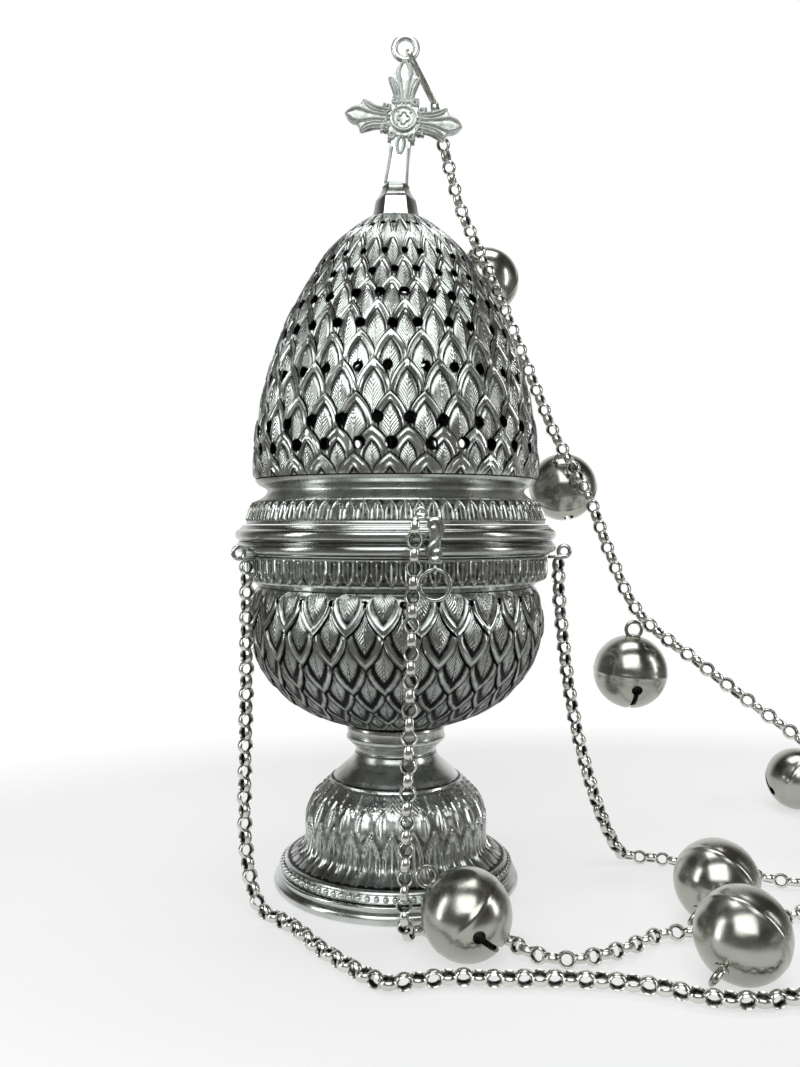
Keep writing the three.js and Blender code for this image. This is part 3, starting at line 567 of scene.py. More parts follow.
def leaf_veins(tree):
    """Height of the veins on a leaf's field, which run along its two slants to the midrib, and the darkening of
    their grooves, as dark patina and painted shade
    """
    leaf = node(tree, "SeparateXYZ", {"Vector": node(tree, "TexCoord").outputs["UV"]})
    one, other = leaf.outputs["X"], leaf.outputs["Y"]
    field = spread(tree, larger(tree, one, other), 0.7, 0.78, 1, 0)
    along = times(tree, math_node(tree, "MINIMUM", one, other), TURN * VEINS)
    wave = math_node(tree, "SINE", along)
    off_rib = math_node(tree, "ABSOLUTE", minus(tree, one, other))
    rib = spread(tree, off_rib, 0.015, 0.05, 1, 0)
    beside = minus(tree, spread(tree, off_rib, 0.06, 0.1, 1, 0), rib)
    carved = plus(tree, times(tree, wave, 0.55), times(tree, rib, 1.3))
    # Dark patina and painted shade: darker in the vein troughs and beside the midrib
    dark = plus(tree, spread(tree, wave, -1, -0.2, 0.22, 0), times(tree, beside, 0.3))
    return times(tree, carved, field), times(tree, dark, field)


def metal(name, base, roughness, tarnish, strength=1.0, film_and_shade=False, lines=False, veins=False, dents=0.0):
    """A worn metal: tarnish in patches, smears in the gloss and fine grit

    Film and shade darken the recesses with dark patina and painted shade, lines are a lathe's, veins are chased
    on the leaves, dents come from a hammer.
    """
    shades = colours()
    material = bpy.data.materials.new(name)
    material.use_nodes = True
    tree = material.node_tree
    shader = tree.nodes["Principled BSDF"]
    shader.inputs["Metallic"].default_value = 1
    place = node(tree, "TexCoord").outputs["Object"]
    patches = spread(tree, noise(tree, place, 45, 6), 0.42, 0.7)
    smears = noise(tree, place, 240, 5)
    grit = noise(tree, place, 1500, 2)
    amount = times(tree, patches, tarnish)
    shade = mixed(tree, amount, rgba(base, strength), rgba(shades.tarnish))
    gloss = spread(tree, smears, 0.3, 0.75, roughness * 0.75, roughness * 1.5)
    gloss = plus(tree, gloss, times(tree, amount, 0.08))
    height = times(tree, grit, 0.06 if veins else 0.12)
    if veins:
        carved, grooves = leaf_veins(tree)
        height = plus(tree, height, carved)
    if film_and_shade:
        # Dark patina and painted shade: the lower a point's relief, the nearer its colour comes to the dark
        # film
        relief = node(tree, "Attribute", attribute_name="relief").outputs["Fac"]
        wear = spread(tree, noise(tree, place, 620, 4), 0.25, 0.75, -0.15, 0.15)
        uneven = plus(tree, relief, wear)
        if veins:
            uneven = minus(tree, uneven, grooves)
        open_metal = spread(tree, uneven, 0.12, 0.62)
        shade = mixed(tree, open_metal, rgba(shades.film_and_shade), shade)
        gloss = plus(tree, gloss, spread(tree, open_metal, 0, 1, 0.22, 0))
    if lines:
        upright = node(tree, "SeparateXYZ", {"Vector": place}).outputs["Z"]
        wave = math_node(tree, "SINE", times(tree, upright, TURN / LATHE_PITCH))
        height = plus(tree, height, times(tree, wave, 0.07))
    if dents:
        cells = node(tree, "TexVoronoi", {"Vector": place, "Scale": 260}, feature="SMOOTH_F1")
        height = plus(tree, height, times(tree, cells.outputs["Distance"], dents))
    bump = node(tree, "Bump", {"Height": height, "Strength": 0.5, "Distance": 0.00012})
    tree.links.new(shade, shader.inputs["Base Color"])
    tree.links.new(gloss, shader.inputs["Roughness"])
    tree.links.new(bump.outputs["Normal"], shader.inputs["Normal"])
    return material


def blacken(material):
    """Lays soot over a finish in patches"""
    tree = material.node_tree
    shader = tree.nodes["Principled BSDF"]
    place = node(tree, "TexCoord").outputs["Object"]
    soot = spread(tree, noise(tree, place, 110, 6), 0.38, 0.62)
    shade = shader.inputs["Base Color"].links[0].from_socket
    tree.links.new(mixed(tree, soot, rgba(colours().soot), shade), shader.inputs["Base Color"])


FINISHES = {}


def finish(name):
    """The named finish, made once"""
    if name not in FINISHES:
        shades = colours()
        recipes = {
            "plain_silver": dict(base=shades.silver, roughness=0.2, tarnish=0.55),
            "turned_silver": dict(base=shades.silver, roughness=0.2, tarnish=0.8, lines=True),
            "rim_silver": dict(base=shades.silver, roughness=0.17, tarnish=1, strength=0.78, lines=True),
            "embossed_silver": dict(base=shades.silver, roughness=0.24, tarnish=0.85, film_and_shade=True),
            "leaf_silver": dict(base=shades.silver, roughness=0.23, tarnish=0.45, film_and_shade=True, veins=True),
            # The bowl's silver is painted darker, at 0.82 of the plate's, as painted shade
            "bowl_silver": dict(
                base=shades.silver, roughness=0.22, tarnish=0.8, strength=0.82, film_and_shade=True, veins=True),
            "cast_silver": dict(base=shades.silver, roughness=0.36, tarnish=0.3, strength=1.3, film_and_shade=True),
            "chain_silver": dict(base=shades.chain, roughness=0.22, tarnish=0.4, film_and_shade=True),
            "bell_metal": dict(base=shades.bell, roughness=0.2, tarnish=0.5),
            "plain_steel": dict(base=shades.steel, roughness=0.4, tarnish=0.4, lines=True),
            "sooty_copper": dict(base=shades.copper, roughness=0.42, tarnish=0.7, dents=1.4),
        }
        FINISHES[name] = metal(name, **recipes[name])
        if name == "sooty_copper":
            blacken(FINISHES[name])
    return FINISHES[name]


# Chains

def route(points, step=0.0005):
    """Evenly spaced points on the smooth curve through a chain's points"""
    given = np.array(points, float)
    padded = np.vstack([2 * given[0] - given[1], given, 2 * given[-1] - given[-2]])
    line = []
    for p0, p1, p2, p3 in zip(padded, padded[1:], padded[2:], padded[3:]):
        d0, d1, d2 = (math.sqrt(np.linalg.norm(b - a)) for a, b in ((p0, p1), (p1, p2), (p2, p3)))
        leave = ((p1 - p0) / d0 - (p2 - p0) / (d0 + d1) + (p2 - p1) / d1) * d1
        enter = ((p2 - p1) / d1 - (p3 - p1) / (d1 + d2) + (p3 - p2) / d2) * d1
        t = np.linspace(0, 1, 24, endpoint=False)[:, None]
        line.append(p1 + leave * t + (3 * (p2 - p1) - 2 * leave - enter) * t**2
                    + (2 * (p1 - p2) + leave + enter) * t**3)
    line.append(given[-1:])
    line = np.vstack(line)
    along = np.concatenate([[0], np.cumsum(np.linalg.norm(np.diff(line, axis=0), axis=1))])
    even = np.linspace(0, along[-1], round(along[-1] / step) + 1)
    return np.stack([np.interp(even, along, line[:, axis]) for axis in range(3)], axis=1), along[-1]


LINK_WALL = 0.00048
LINK_STRETCH = 1.09  # how much longer a link is than it is wide
LINK_UNEVENNESS = 0.12  # largest turn of a link out of its place, in radians
FIRST_CHAIN_SEED = 3


def chain_link():
    """One band link: a ring of flattened wire, drawn a little long, with dark patina and painted shade on its
    inside
    """
    size = sizes()
    middle = size.link_radius - LINK_WALL
    bpy.ops.mesh.primitive_torus_add(
        major_radius=middle, minor_radius=LINK_WALL, major_segments=14, minor_segments=8)
    link = bpy.context.active_object
    bpy.ops.object.mode_set(mode="EDIT")
    bpy.ops.mesh.select_all(action="SELECT")
    bpy.ops.transform.resize(value=(LINK_STRETCH, 1, size.link_width / LINK_WALL))
    bpy.ops.object.mode_set(mode="OBJECT")
    place_in_mesh(link)
    places = coordinates(link.data)
    out = np.hypot(places[:, 0] / LINK_STRETCH, places[:, 1])
    edge = np.abs(places[:, 2]) / size.link_width
    # Relief falls towards the inside of the link, where dark patina and painted shade are laid
    set_relief(link.data, np.clip((out - middle) / LINK_WALL * 0.5 + 0.5 + 0.15 * edge, 0.08, 1))
    return link


def link_places(line, length, roll, seed):
    """Where each link sits along a chain, each turned a quarter turn from the last"""
    count = max(2, round(length / sizes().link_pitch))
    chance = random.Random(seed)
    first_step = line[1] - line[0]
    starts_level = abs(first_step[2]) < 0.5 * np.linalg.norm(first_step)
    across = Vector((0, 0, 1) if starts_level else (1, 0, 0))
    places = []
    for number in range(count):
        at = (number + 0.5) / count * (len(line) - 1)
        low = min(int(at), len(line) - 2)
        middle = Vector(line[low]).lerp(Vector(line[low + 1]), at - low)
        ahead = Vector(line[min(low + 3, len(line) - 1)]) - Vector(line[max(low - 3, 0)])
        ahead.normalize()
        across = (across - across.dot(ahead) * ahead).normalized()
        angle = roll + (number % 2) * math.pi / 2 + chance.uniform(-LINK_UNEVENNESS, LINK_UNEVENNESS)
        side = Matrix.Rotation(angle, 3, ahead) @ across
        basis = Matrix((ahead, side.cross(ahead), side)).transposed()
        places.append(Matrix.Translation(middle) @ basis.to_4x4())
    return places


class CENSER_OT_chains(bpy.types.Operator):
    """Build the four chains from band links along their routes"""

    bl_idname = "censer.chains"
    bl_label = "Chains"

    def execute(self, context):
        chains = [
            ("lid_chain_upper", "chain_lid_upper", LID_CHAIN_UPPER, 0.3, "lid"),
            ("lid_chain_lower", "chain_lid_lower", LID_CHAIN_LOWER, 0.3, None),
            ("left_chain", "chain_left", LEFT_CHAIN, 0.9, "root"),
            ("right_chain", "chain_right", RIGHT_CHAIN, 0.7, "root"),
            ("front_chain", "chain_front", FRONT_CHAIN, 0.1, "root"),
        ]
        for seed, (name, solid, points, roll, body) in enumerate(chains, start=FIRST_CHAIN_SEED):
            line, length = route(points)
            piece = copies(name, chain_link(), link_places(line, length, roll, seed))
            finish_piece(piece, "chain_silver", body, [solid], angle=60)
            if body is None:
                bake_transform(piece)
            piece["route_length"] = length
        return {"FINISHED"}


def declare_chains():
    """Works out each chain's route at a coarser step, and keeps nothing of it"""

    def declare(points):
        route(points, 0.002)[0].tolist()

    declare(LID_CHAIN_UPPER)
    declare(LID_CHAIN_LOWER)
    declare(LEFT_CHAIN)
    declare(RIGHT_CHAIN)
    declare(FRONT_CHAIN)


# Bells

BELL_SHEET = 0.0008
BELL_SEAM_CUTS = (-0.0007, -0.0004, 0.0004, 0.0007)  # heights of the edges of the rolled seam and of its crest
BELL_SEAM_CREST = 0.00045
BELL_SEAM_RISE = 0.0001
BELL_SLIT = 0.0016
BELL_HOLE_RADIUS = 0.0017
BELL_LOOP_WIRE = 0.0006
BELL_SEAT_RADIUS = 0.0019


def bell_template():
    """A hollow ball with a rolled seam, a slit that ends in two round holes, and a wire loop"""
    radius = sizes().bell_radius
    bpy.ops.mesh.primitive_uv_sphere_add(segments=48, ring_count=26, radius=radius)
    ball = bpy.context.active_object
    bpy.ops.object.mode_set(mode="EDIT")
    for height in BELL_SEAM_CUTS:
        bpy.ops.mesh.select_all(action="SELECT")
        bpy.ops.mesh.bisect(plane_co=(0, 0, height), plane_no=(0, 0, 1), threshold=ON_PLANE)
    bpy.ops.object.mode_set(mode="OBJECT")
    clean(ball)
    places = coordinates(ball.data)
    on_seam = np.abs(places[:, 2]) < BELL_SEAM_CREST
    places[on_seam, :2] *= 1 + BELL_SEAM_RISE / radius
    set_coordinates(ball.data, places)
    modify(ball, "SOLIDIFY", thickness=BELL_SHEET, offset=-1)
    slit_top = -0.35 * radius
    hole_side = math.sqrt(radius**2 - slit_top**2)
    bpy.ops.mesh.primitive_cube_add(
        size=1, location=(0, 0, slit_top - radius / 2), scale=(BELL_SLIT, 3 * radius, radius))
    cutters = [place_in_mesh(bpy.context.active_object)]
    for side in (-1, 1):
        end = Vector((0, side * hole_side, slit_top))
        bpy.ops.mesh.primitive_cylinder_add(
            vertices=24, radius=BELL_HOLE_RADIUS, depth=0.008, location=end,
            rotation=end.to_track_quat("Z", "X").to_euler())
        cutters.append(place_in_mesh(bpy.context.active_object))
    for cutter in cutters:
        modify(ball, "BOOLEAN", operation="DIFFERENCE", object=cutter, solver="MANIFOLD")
        bpy.data.objects.remove(cutter)
    loop_radius = BELL_LOOP_HEIGHT / 2
    bpy.ops.mesh.primitive_torus_add(
        major_radius=loop_radius, minor_radius=BELL_LOOP_WIRE, major_segments=24, minor_segments=10,
        location=(0, 0, radius + BELL_LOOP_HEIGHT - loop_radius - BELL_LOOP_WIRE), rotation=(math.pi / 2, 0, 0))
    loop = place_in_mesh(bpy.context.active_object)
    bpy.ops.mesh.primitive_cylinder_add(
        vertices=24, radius=BELL_SEAT_RADIUS, depth=0.0006, location=(0, 0, radius))
    seat = place_in_mesh(bpy.context.active_object)
    modify(seat, "BEVEL", width=0.0002, segments=2)
    return join("bell_template", [ball, loop, seat])


def bell_matrices():
    """Body and place of each bell, worked out from where it is tied"""
    radius = sizes().bell_radius
    reach = radius + BELL_LOOP_HEIGHT + BELL_GAP + CHAIN_HALF
    found = []
    for body, tied, hangs, slack in HANGING_BELLS:
        at = Vector(in_metres([tied])[0])
        found.append((body, at, at + Vector(hangs).normalized() * (reach + metres(slack))))
    for tied, heading, slack in TABLE_BELLS:
        x, y, z = in_metres([tied])[0]
        across = math.sqrt((reach + metres(slack)) ** 2 - (radius - z)**2)
        angle = math.radians(heading)
        centre = Vector((x + across * math.cos(angle), y + across * math.sin(angle), radius))
        found.append(("root", Vector((x, y, z)), centre))
    places = []
    for body, at, centre in found:
        turn = Vector((0, 0, 1)).rotation_difference(at - centre)
        places.append((body, Matrix.Translation(centre) @ turn.to_matrix().to_4x4()))
    return places


class CENSER_OT_bells(bpy.types.Operator):
    """Build the twelve jingle bells and finish their pellets"""

    bl_idname = "censer.bells"
    bl_label = "Bells"

    def execute(self, context):
        template = bell_template()
        for number, (body, place) in enumerate(bell_matrices(), start=1):
            bell = add_object(f"jingle_bell_{number:02d}", template.data.copy())
            bell.data.transform(place)
            finish_piece(bell, "bell_metal", body, [f"bell_{number:02d}"], angle=30)
            dress_node(f"pellet_{number:02d}", "plain_steel")
        bpy.data.objects.remove(template)
        return {"FINISHED"}


# Embossed leaves

# Where the lines of a leaf's grid cross its two slants
LEAF_LINES = [0, 0.03, 0.13, 0.27, 0.41, 0.54, 0.65, 0.73, 0.79, 0.845, 0.89, 0.93, 0.965, 1]
LEAF_EVEN = 0.86  # share of a leaf's lift along its edges, where leaves meet

# Borders of leaves: (place, width, height) of two ridges and of the moat inside them, and where the field ends
SINGLE_BORDER = [(0.925, 0.085, 1), (0.925, 0.085, 0), (0.79, 0.075, 0.75)], 0.76
LEAF_BORDERS = {
    "first": SINGLE_BORDER,
    "single": SINGLE_BORDER,
    "broad": ([(0.93, 0.07, 1), (0.79, 0.07, 0.9), (0.73, 0.07, 1)], 0.7),
    "double": ([(0.965, 0.042, 1), (0.89, 0.042, 0.8), (0.845, 0.045, 1)], 0.82),
}


def cosine_bump(distance, width):
    """1 at no distance, falling smoothly to 0 at that width"""
    return np.where(np.abs(distance) < width, 0.5 + 0.5 * np.cos(np.pi * distance / width), 0)


def leaf_surface(a, b, border):
    """Rise over the ground as a share of the leaf's lift, and relief, over the two slants of a leaf"""
    near = np.minimum(a, b)
    far = np.maximum(a, b)
    if border == "plain":
        return np.full_like(a, LEAF_EVEN), np.full_like(a, 0.7)
    lines, edge = LEAF_BORDERS[border]
    first_ridge, second_ridge, moat = (
        height * cosine_bump(far - middle, width) for middle, width, height in lines)
    inside = held((edge - far) / 0.06)
    slant = held((far - near) / 0.7)
    rib = np.where(a == b, held((edge - far) / 0.12), 0)
    tilt = LEAF_EVEN - 0.45 * held(near / 0.5) if border == "first" else 0.12 + 0.5 * near**0.7
    rise = tilt + 0.36 * first_ridge + 0.32 * second_ridge - 0.3 * moat
    rise += 0.3 * rib + inside * (0.3 - 0.26 * slant)
    relief = 0.4 + 0.5 * np.maximum(first_ridge, second_ridge) - 0.34 * moat
    relief += inside * 0.5
    on_edge = (a == 0) | (b == 0) | (a == 1) | (b == 1)
    rise = np.where(on_edge, LEAF_EVEN, rise)
    relief = np.where(on_edge, 0.45, relief)
    deep = (near == LEAF_LINES[1]) & ~on_edge & (border != "first")
    rise = np.where(deep, 0.0, rise)
    relief = np.where(deep, 0.0, relief)
    return rise, held(relief)


def leaf_shell(name, outline, tips, heading, ends, borders, roundness, painted_shade_below=0.0):
    """Rows of overlapping leaves on a turned surface, each row over the next; a painted shade darkens them
    towards the bottom
    """
    bottom, top = ends
    leaves = sizes().leaves
    lift = sizes().leaf_lift / MM
    count = len(LEAF_LINES) - 1
    bpy.ops.mesh.primitive_grid_add(x_subdivisions=count, y_subdivisions=count, size=1)
    tile = bpy.context.active_object
    lines = np.array(LEAF_LINES)
    spots = np.rint((coordinates(tile.data)[:, :2] + 0.5) * count).astype(int)
    a, b = lines[spots[:, 0]], lines[spots[:, 1]]
    near, far = np.minimum(a, b), np.maximum(a, b)
    free = (near > LEAF_LINES[1]) & (far < 1)
    roof = held(1 - (far - near) / 0.5) * held((0.86 - far) / 0.1)
    for loop in tile.data.loops:
        tile.data.uv_layers[0].data[loop.index].uv = (a[loop.vertex_index], b[loop.vertex_index])
    heights, radii, slope = surface_of(outline)
    leaf_objects = []
    chance = random.Random(len(tips))
    widest = TURN * radii.max() / leaves
    for row in range(2, len(tips)):
        low, side, tip = tips[row - 2], tips[row - 1], tips[row]
        rise, relief = leaf_surface(a, b, borders.get(row, borders["rest"]))
        height = (1 - a) * (1 - b) * low + (a * (1 - b) + (1 - a) * b) * side + a * b * tip
        radius = np.interp(height, heights, radii)
        lean = np.interp(height, heights, slope)
        normal_out = 1 / np.sqrt(1 + lean**2)
        normal_up = -lean * normal_out
        size_here = np.clip(TURN * radius / leaves / widest, 0.28, 1)
        near_end = held((height - bottom) / 0.8) * held((top - height) / 1.6)
        out = rise * lift * size_here * near_end
        level = height + out * normal_up
        for leaf in range(leaves):
            uneven = chance.uniform(-0.35, 0.35) * (a - b) + chance.uniform(-0.15, 0.15) * near
            uneven = uneven + chance.uniform(-0.15, 0.3) * roof
            ring = radius + (out + free * uneven * lift * size_here * near_end) * normal_out
            centre = math.radians(heading) + TURN * (leaf + 0.5 * (row % 2)) / leaves
            angle = centre + math.pi / leaves * (a**roundness - b**roundness)
            mesh = tile.data.copy()
            set_coordinates(mesh, np.stack([ring * np.cos(angle), ring * np.sin(angle), level], axis=1) * MM)
            # Painted shade: the relief, and so the colour, is lowered towards the bottom of the shell
            set_relief(mesh, relief - painted_shade_below * held((top - 6 - height) / 22))
            leaf_objects.append(add_object("leaf", mesh))
    bpy.data.objects.remove(tile)
    shell = join(name, leaf_objects)
    clean(shell, merge=LEAF_DOUBLES)
    bpy.ops.object.mode_set(mode="EDIT")
    for height, side in ((bottom, -1), (top, 1)):
        bpy.ops.mesh.select_all(action="SELECT")
        bpy.ops.mesh.bisect(
            plane_co=(0, 0, height * MM), plane_no=(0, 0, side), clear_outer=True, threshold=ON_PLANE)
    bpy.ops.object.mode_set(mode="OBJECT")
    return clean(shell)


def pierce(piece, cutters):
    """Cuts the holes and removes what cut them"""
    cutter = join("cutter", cutters)
    modify(piece, "BOOLEAN", operation="DIFFERENCE", object=cutter, solver="MANIFOLD")
    bpy.data.objects.remove(cutter)
    return piece


def hole_cutters(rows, outline, heading, depth, slack):
    """Round bars square to the surface, for rows of (height, shift, diameter), each a little off its place"""
    leaves = sizes().leaves
    heights, radii, slope = surface_of(outline)
    chance = random.Random(HOLE_SEED)
    cutters = []
    for height, shift, diameter in rows:
        radius = float(np.interp(height, heights, radii))
        lean = float(np.interp(height, heights, slope))
        outward = Vector((1, 0, -lean)).normalized()
        bpy.ops.mesh.primitive_cylinder_add(
            vertices=18, radius=diameter / 2 * MM, depth=depth * MM,
            location=Vector((radius, 0, height)) * MM, rotation=outward.to_track_quat("Z", "Y").to_euler())
        bar = place_in_mesh(bpy.context.active_object)
        turns = []
        for number in range(leaves):
            slip = Vector((0, 0, chance.uniform(-0.67, 0.67) * slack)) * MM
            turn = math.radians(heading) + TURN * (number + shift) / leaves
            turn += chance.uniform(-1, 1) * slack / radius
            turns.append(Matrix.Translation(slip) @ Matrix.Rotation(turn, 4, "Z"))
        cutters.append(copies("holes", bar, turns))
    return cutters


# Dome and bowl: heading, both ends, borders by row, heights of the rows' tips, and the rows of holes
HOLE_HEADING = 268.15
HOLE_SEED = 41
DOME_ENDS = (125.1, 206)
DOME_BORDERS = {2: "broad", 3: "broad", "rest": "double"}
DOME_TIPS = [116.5, 123.2, 130.4, 137.6, 147.2, 156.4, 164.9, 174.2, 181.5, 189.1, 197.4, 205, 211.5, 217]
DOME_HOLES = [
    (133.3, 0.09, 3.4), (139.8, 0.59, 3.3), (154.3, 0, 2.9), (167.3, 0, 2.9), (176.1, 0.5, 3),
    (183.7, 0, 2.3), (190.4, 0.5, 2), (201, 0, 1.5),
]
BOWL_HEADING = 259.6
BOWL_ENDS = (50, 92.2)
BOWL_BORDERS = {2: "plain", 3: "first", "rest": "single"}
BOWL_DOTS = [(89.4, 0, 1.8)]
BOWL_TIPS = [106, 97.5, 89.4, 80.8, 72, 64.4, 58.6, 54.2, 51, 48.6, 47]


class CENSER_OT_dome(bpy.types.Operator):
    """Build the pierced dome of overlapping leaves"""

    bl_idname = "censer.dome"
    bl_label = "Dome"

    def execute(self, context):
        shell = leaf_shell(
            "pierced_dome", DOME_OUTLINE, DOME_TIPS, HOLE_HEADING, DOME_ENDS, DOME_BORDERS, roundness=2.3)
        walled(shell, DOME_INNER)
        pierce(shell, hole_cutters(DOME_HOLES, DOME_OUTLINE, HOLE_HEADING, 8, 0.8))
        finish_piece(shell, "leaf_silver", "lid", ["lid_dome"], angle=44)
        return {"FINISHED"}


class CENSER_OT_bowl(bpy.types.Operator):
    """Build the bowl of overlapping leaves with its row of punched dots"""

    bl_idname = "censer.bowl"
    bl_label = "Bowl"

    def execute(self, context):
        # The bowl's lower rows are darkened with painted shade
        shell = leaf_shell(
            "leafed_bowl", BOWL_OUTLINE, BOWL_TIPS, BOWL_HEADING, BOWL_ENDS, BOWL_BORDERS, roundness=2.1,
            painted_shade_below=0.38)
        walled(shell, BOWL_INNER)
        pierce(shell, hole_cutters(BOWL_DOTS, BOWL_OUTLINE, BOWL_HEADING, 1.9, 0.3))
        finish_piece(shell, "bowl_silver", "root", ["bowl_shell"], angle=44)
        return {"FINISHED"}


# Foot, bands and rims, with heights and radii in millimetres

FOOT_LEAF_LOW, FOOT_LEAF_WIDEST, FOOT_LEAF_TIP = 8.9, 13.5, 22.8
LENS_LOW, LENS_HIGH = 20.2, 29
SHOULDER_LOW, SHOULDER_HIGH = 26, 32.2
FOOT_GROOVES = (32.95, 8.95)
BEAD_RADIUS, BEAD_RING, BEAD_HEIGHT = 0.92, 35.1, 6.7


def foot_relief(angle, height, radius):
    """Upright leaves on the skirt, lens-shaped leaves between their tips, and veins over the shoulder"""
    leaves = sizes().leaves
    turn = (angle - math.radians(HOLE_HEADING)) / TURN * leaves
    pitch = TURN * radius / leaves
    upright = turn - np.round(turn)
    between = turn + 0.5 - np.round(turn + 0.5)
    rise = np.zeros_like(height)
    relief = np.full_like(height, 0.75)

    share = held((height - FOOT_LEAF_WIDEST) / (FOOT_LEAF_TIP - FOOT_LEAF_WIDEST))
    half = 0.5 * (1 - share**1.9)
    inside = (np.abs(upright) < half) & (height > FOOT_LEAF_LOW) & (height < FOOT_LEAF_TIP)
    edge = (half - np.abs(upright)) * pitch
    root = held((height - 9.2) / 2.4)
    ridge = cosine_bump(edge - 0.42, 0.4) + 0.85 * cosine_bump(edge - 1.2, 0.38)
    rib = cosine_bump(upright * pitch, 0.42) * held((21 - height) / 3)
    leaf_rise = root * (0.18 + 0.45 * ridge + 0.35 * rib)
    leaf_relief = 0.3 + 0.65 * held(ridge + rib)
    rise = np.where(inside, leaf_rise, rise)
    relief = np.where(inside, leaf_relief, relief)

    lens_share = held((height - LENS_LOW) / (LENS_HIGH - LENS_LOW))
    lens_half = 0.36 * np.sin(np.pi * lens_share**0.85) ** 0.8
    in_lens = (np.abs(between) < lens_half) & ~inside & (height > LENS_LOW) & (height < LENS_HIGH)
    lens_edge = (lens_half - np.abs(between)) * pitch
    swell = held(lens_edge / 0.9)
    blade = 1 - held(np.abs(np.abs(between) - 0.12) * pitch / 0.5)
    midrib = cosine_bump(between * pitch, 0.34)
    rise = np.where(in_lens, 0.25 * swell + 0.35 * midrib + 0.2 * blade * swell, rise)
    relief = np.where(in_lens, 0.35 + 0.6 * held(swell * 0.7 + midrib), relief)
    gap = ~inside & ~in_lens & (height > 9.5) & (height < 27.5)
    relief = np.where(gap, 0.3, relief)

    shoulder = (height >= SHOULDER_LOW) & (height < SHOULDER_HIGH) & ~in_lens & ~inside
    lean = (height - SHOULDER_LOW) * 0.16
    veins = np.abs(np.sin(TURN * 2.5 * (np.abs(upright) + lean)))
    fade = held((height - SHOULDER_LOW) / 1.5) * held((SHOULDER_HIGH - height) / 0.8)
    rise = np.where(shoulder, (0.3 * veins + 0.25 * cosine_bump(upright * pitch, 0.5)) * fade, rise)
    relief = np.where(shoulder, 0.25 + 0.6 * veins, relief)
    groove = sum(cosine_bump(height - middle, 0.35) for middle in FOOT_GROOVES)
    relief = held(relief - 0.8 * groove)
    return rise, relief


def plated_ring(name, outline, steps, look, body, solid):
    """A closed turned piece of silver plate"""
    finish_piece(turned_ring(name, outline, steps), look, body, [solid])


FOOT_RIM_OUTLINE = [
    (33, 0.3), (33.3, 0), (36.4, 0), *arc(36.2, 1.75, 1.75, -80, 62, 12), (36.75, 3.5), (36.5, 3.75),
    (36.6, 4.1), *arc(36.15, 4.7, 0.55, -20, 80, 5), (35.9, 5.4), (33, 5.4),
]


class CENSER_OT_foot(bpy.types.Operator):
    """Build the embossed foot, its bead row and its rolled rim"""

    bl_idname = "censer.foot"
    bl_label = "Foot"

    def execute(self, context):
        skin = spun("leafed_foot", smooth_outline(FOOT_OUTLINE, 0.42), 392)
        emboss(skin, foot_relief)
        walled(skin, FOOT_INNER)
        bpy.ops.mesh.primitive_ico_sphere_add(
            subdivisions=2, radius=BEAD_RADIUS * MM, location=(BEAD_RING * MM, 0, BEAD_HEIGHT * MM))
        bead = place_in_mesh(bpy.context.active_object)
        set_relief(bead.data, held((coordinates(bead.data)[:, 0] / MM - 34.6) / 0.9))
        beads = sizes().beads
        row = copies("beads", bead, [Matrix.Rotation(TURN * i / beads, 4, "Z") for i in range(beads)])
        foot = join("leafed_foot", [skin, row])
        finish_piece(foot, "embossed_silver", "root", ["foot_shell"])
        plated_ring("rolled_foot_rim", FOOT_RIM_OUTLINE, 168, "turned_silver", "root", "foot_rim")
        return {"FINISHED"}


NECK_OUTLINE = [
    (2.3, 40.6), (12.5, 40.6), (12.65, 40.9), (12.4, 41.2), (12.6, 41.8), (13.1, 42.6), (13.7, 43.2),
    (14.1, 43.5), (14.1, 44), (14, 44.1), (2.3, 44.1),
]
COLLAR_OUTLINE = [
    (2.3, 44.4), (14.8, 44.4), (15.2, 44.55), (15.4, 44.9), (15.4, 45.5), (15.15, 45.7), (15.1, 46),
    (15.1, 47.6), (15.15, 47.9), (15.4, 48.1), (15.4, 48.9), (15.2, 49.3), (14.8, 49.5), (2.3, 49.5),
]


class CENSER_OT_stem(bpy.types.Operator):
    """Build the flared neck and the collar under the bowl"""

    bl_idname = "censer.stem"
    bl_label = "Stem"

    def execute(self, context):
        plated_ring("flared_neck", NECK_OUTLINE, 96, "turned_silver", "root", "stem_neck")
        plated_ring("stem_collar_ring", COLLAR_OUTLINE, 96, "turned_silver", "root", "stem_collar")
        for name in ("stem_bolt", "stem_washer", "stem_nut", "finial_nut"):
            dress_node(name, "plain_steel")
        return {"FINISHED"}


def tongue_relief(root, tip, full):
    """Relief of a band of tongues, whose roots and tips are at these heights"""
    def relief_at(angle, height, radius):
        tongues = sizes().tongues
        turn = angle / TURN * tongues
        side = turn - np.round(turn)
        pitch = TURN * radius / tongues
        share = (height - root) / (tip - root)
        close = held((share - full) / (1 - full))
        half = 0.46 * (1 - close**2.1)
        on_band = (share > 0) & (share < 1)
        edge = (half - np.abs(side)) * pitch
        inside = on_band & (edge > 0)
        border = cosine_bump(edge - 0.3, 0.32)
        rib = cosine_bump(side * pitch, 0.34) * held((0.86 - share) / 0.1) * held(share / 0.12)
        body = held(edge / 0.5)
        on_tongue = 0.1 + 0.4 * border + 0.3 * rib + 0.08 * body
        relief = np.where(inside, 0.22 + 0.75 * held(border + rib), np.where(on_band, 0.22, 0.8))
        outside = held(np.maximum(-share, share - 1) * abs(tip - root) / 0.5)
        rise = np.where(on_band, np.where(inside, on_tongue, 0), 0.32 * np.sin(np.pi * outside))
        return rise, held(relief)
    return relief_at


def tongue_band(name, outline, inner, relief_at, body, solid):
    """A band of tongues with its inner wall"""
    band = spun(name, smooth_outline(outline, 0.38), sizes().tongues * 12)
    emboss(band, relief_at)
    walled(band, inner)
    finish_piece(band, "embossed_silver", body, [solid])


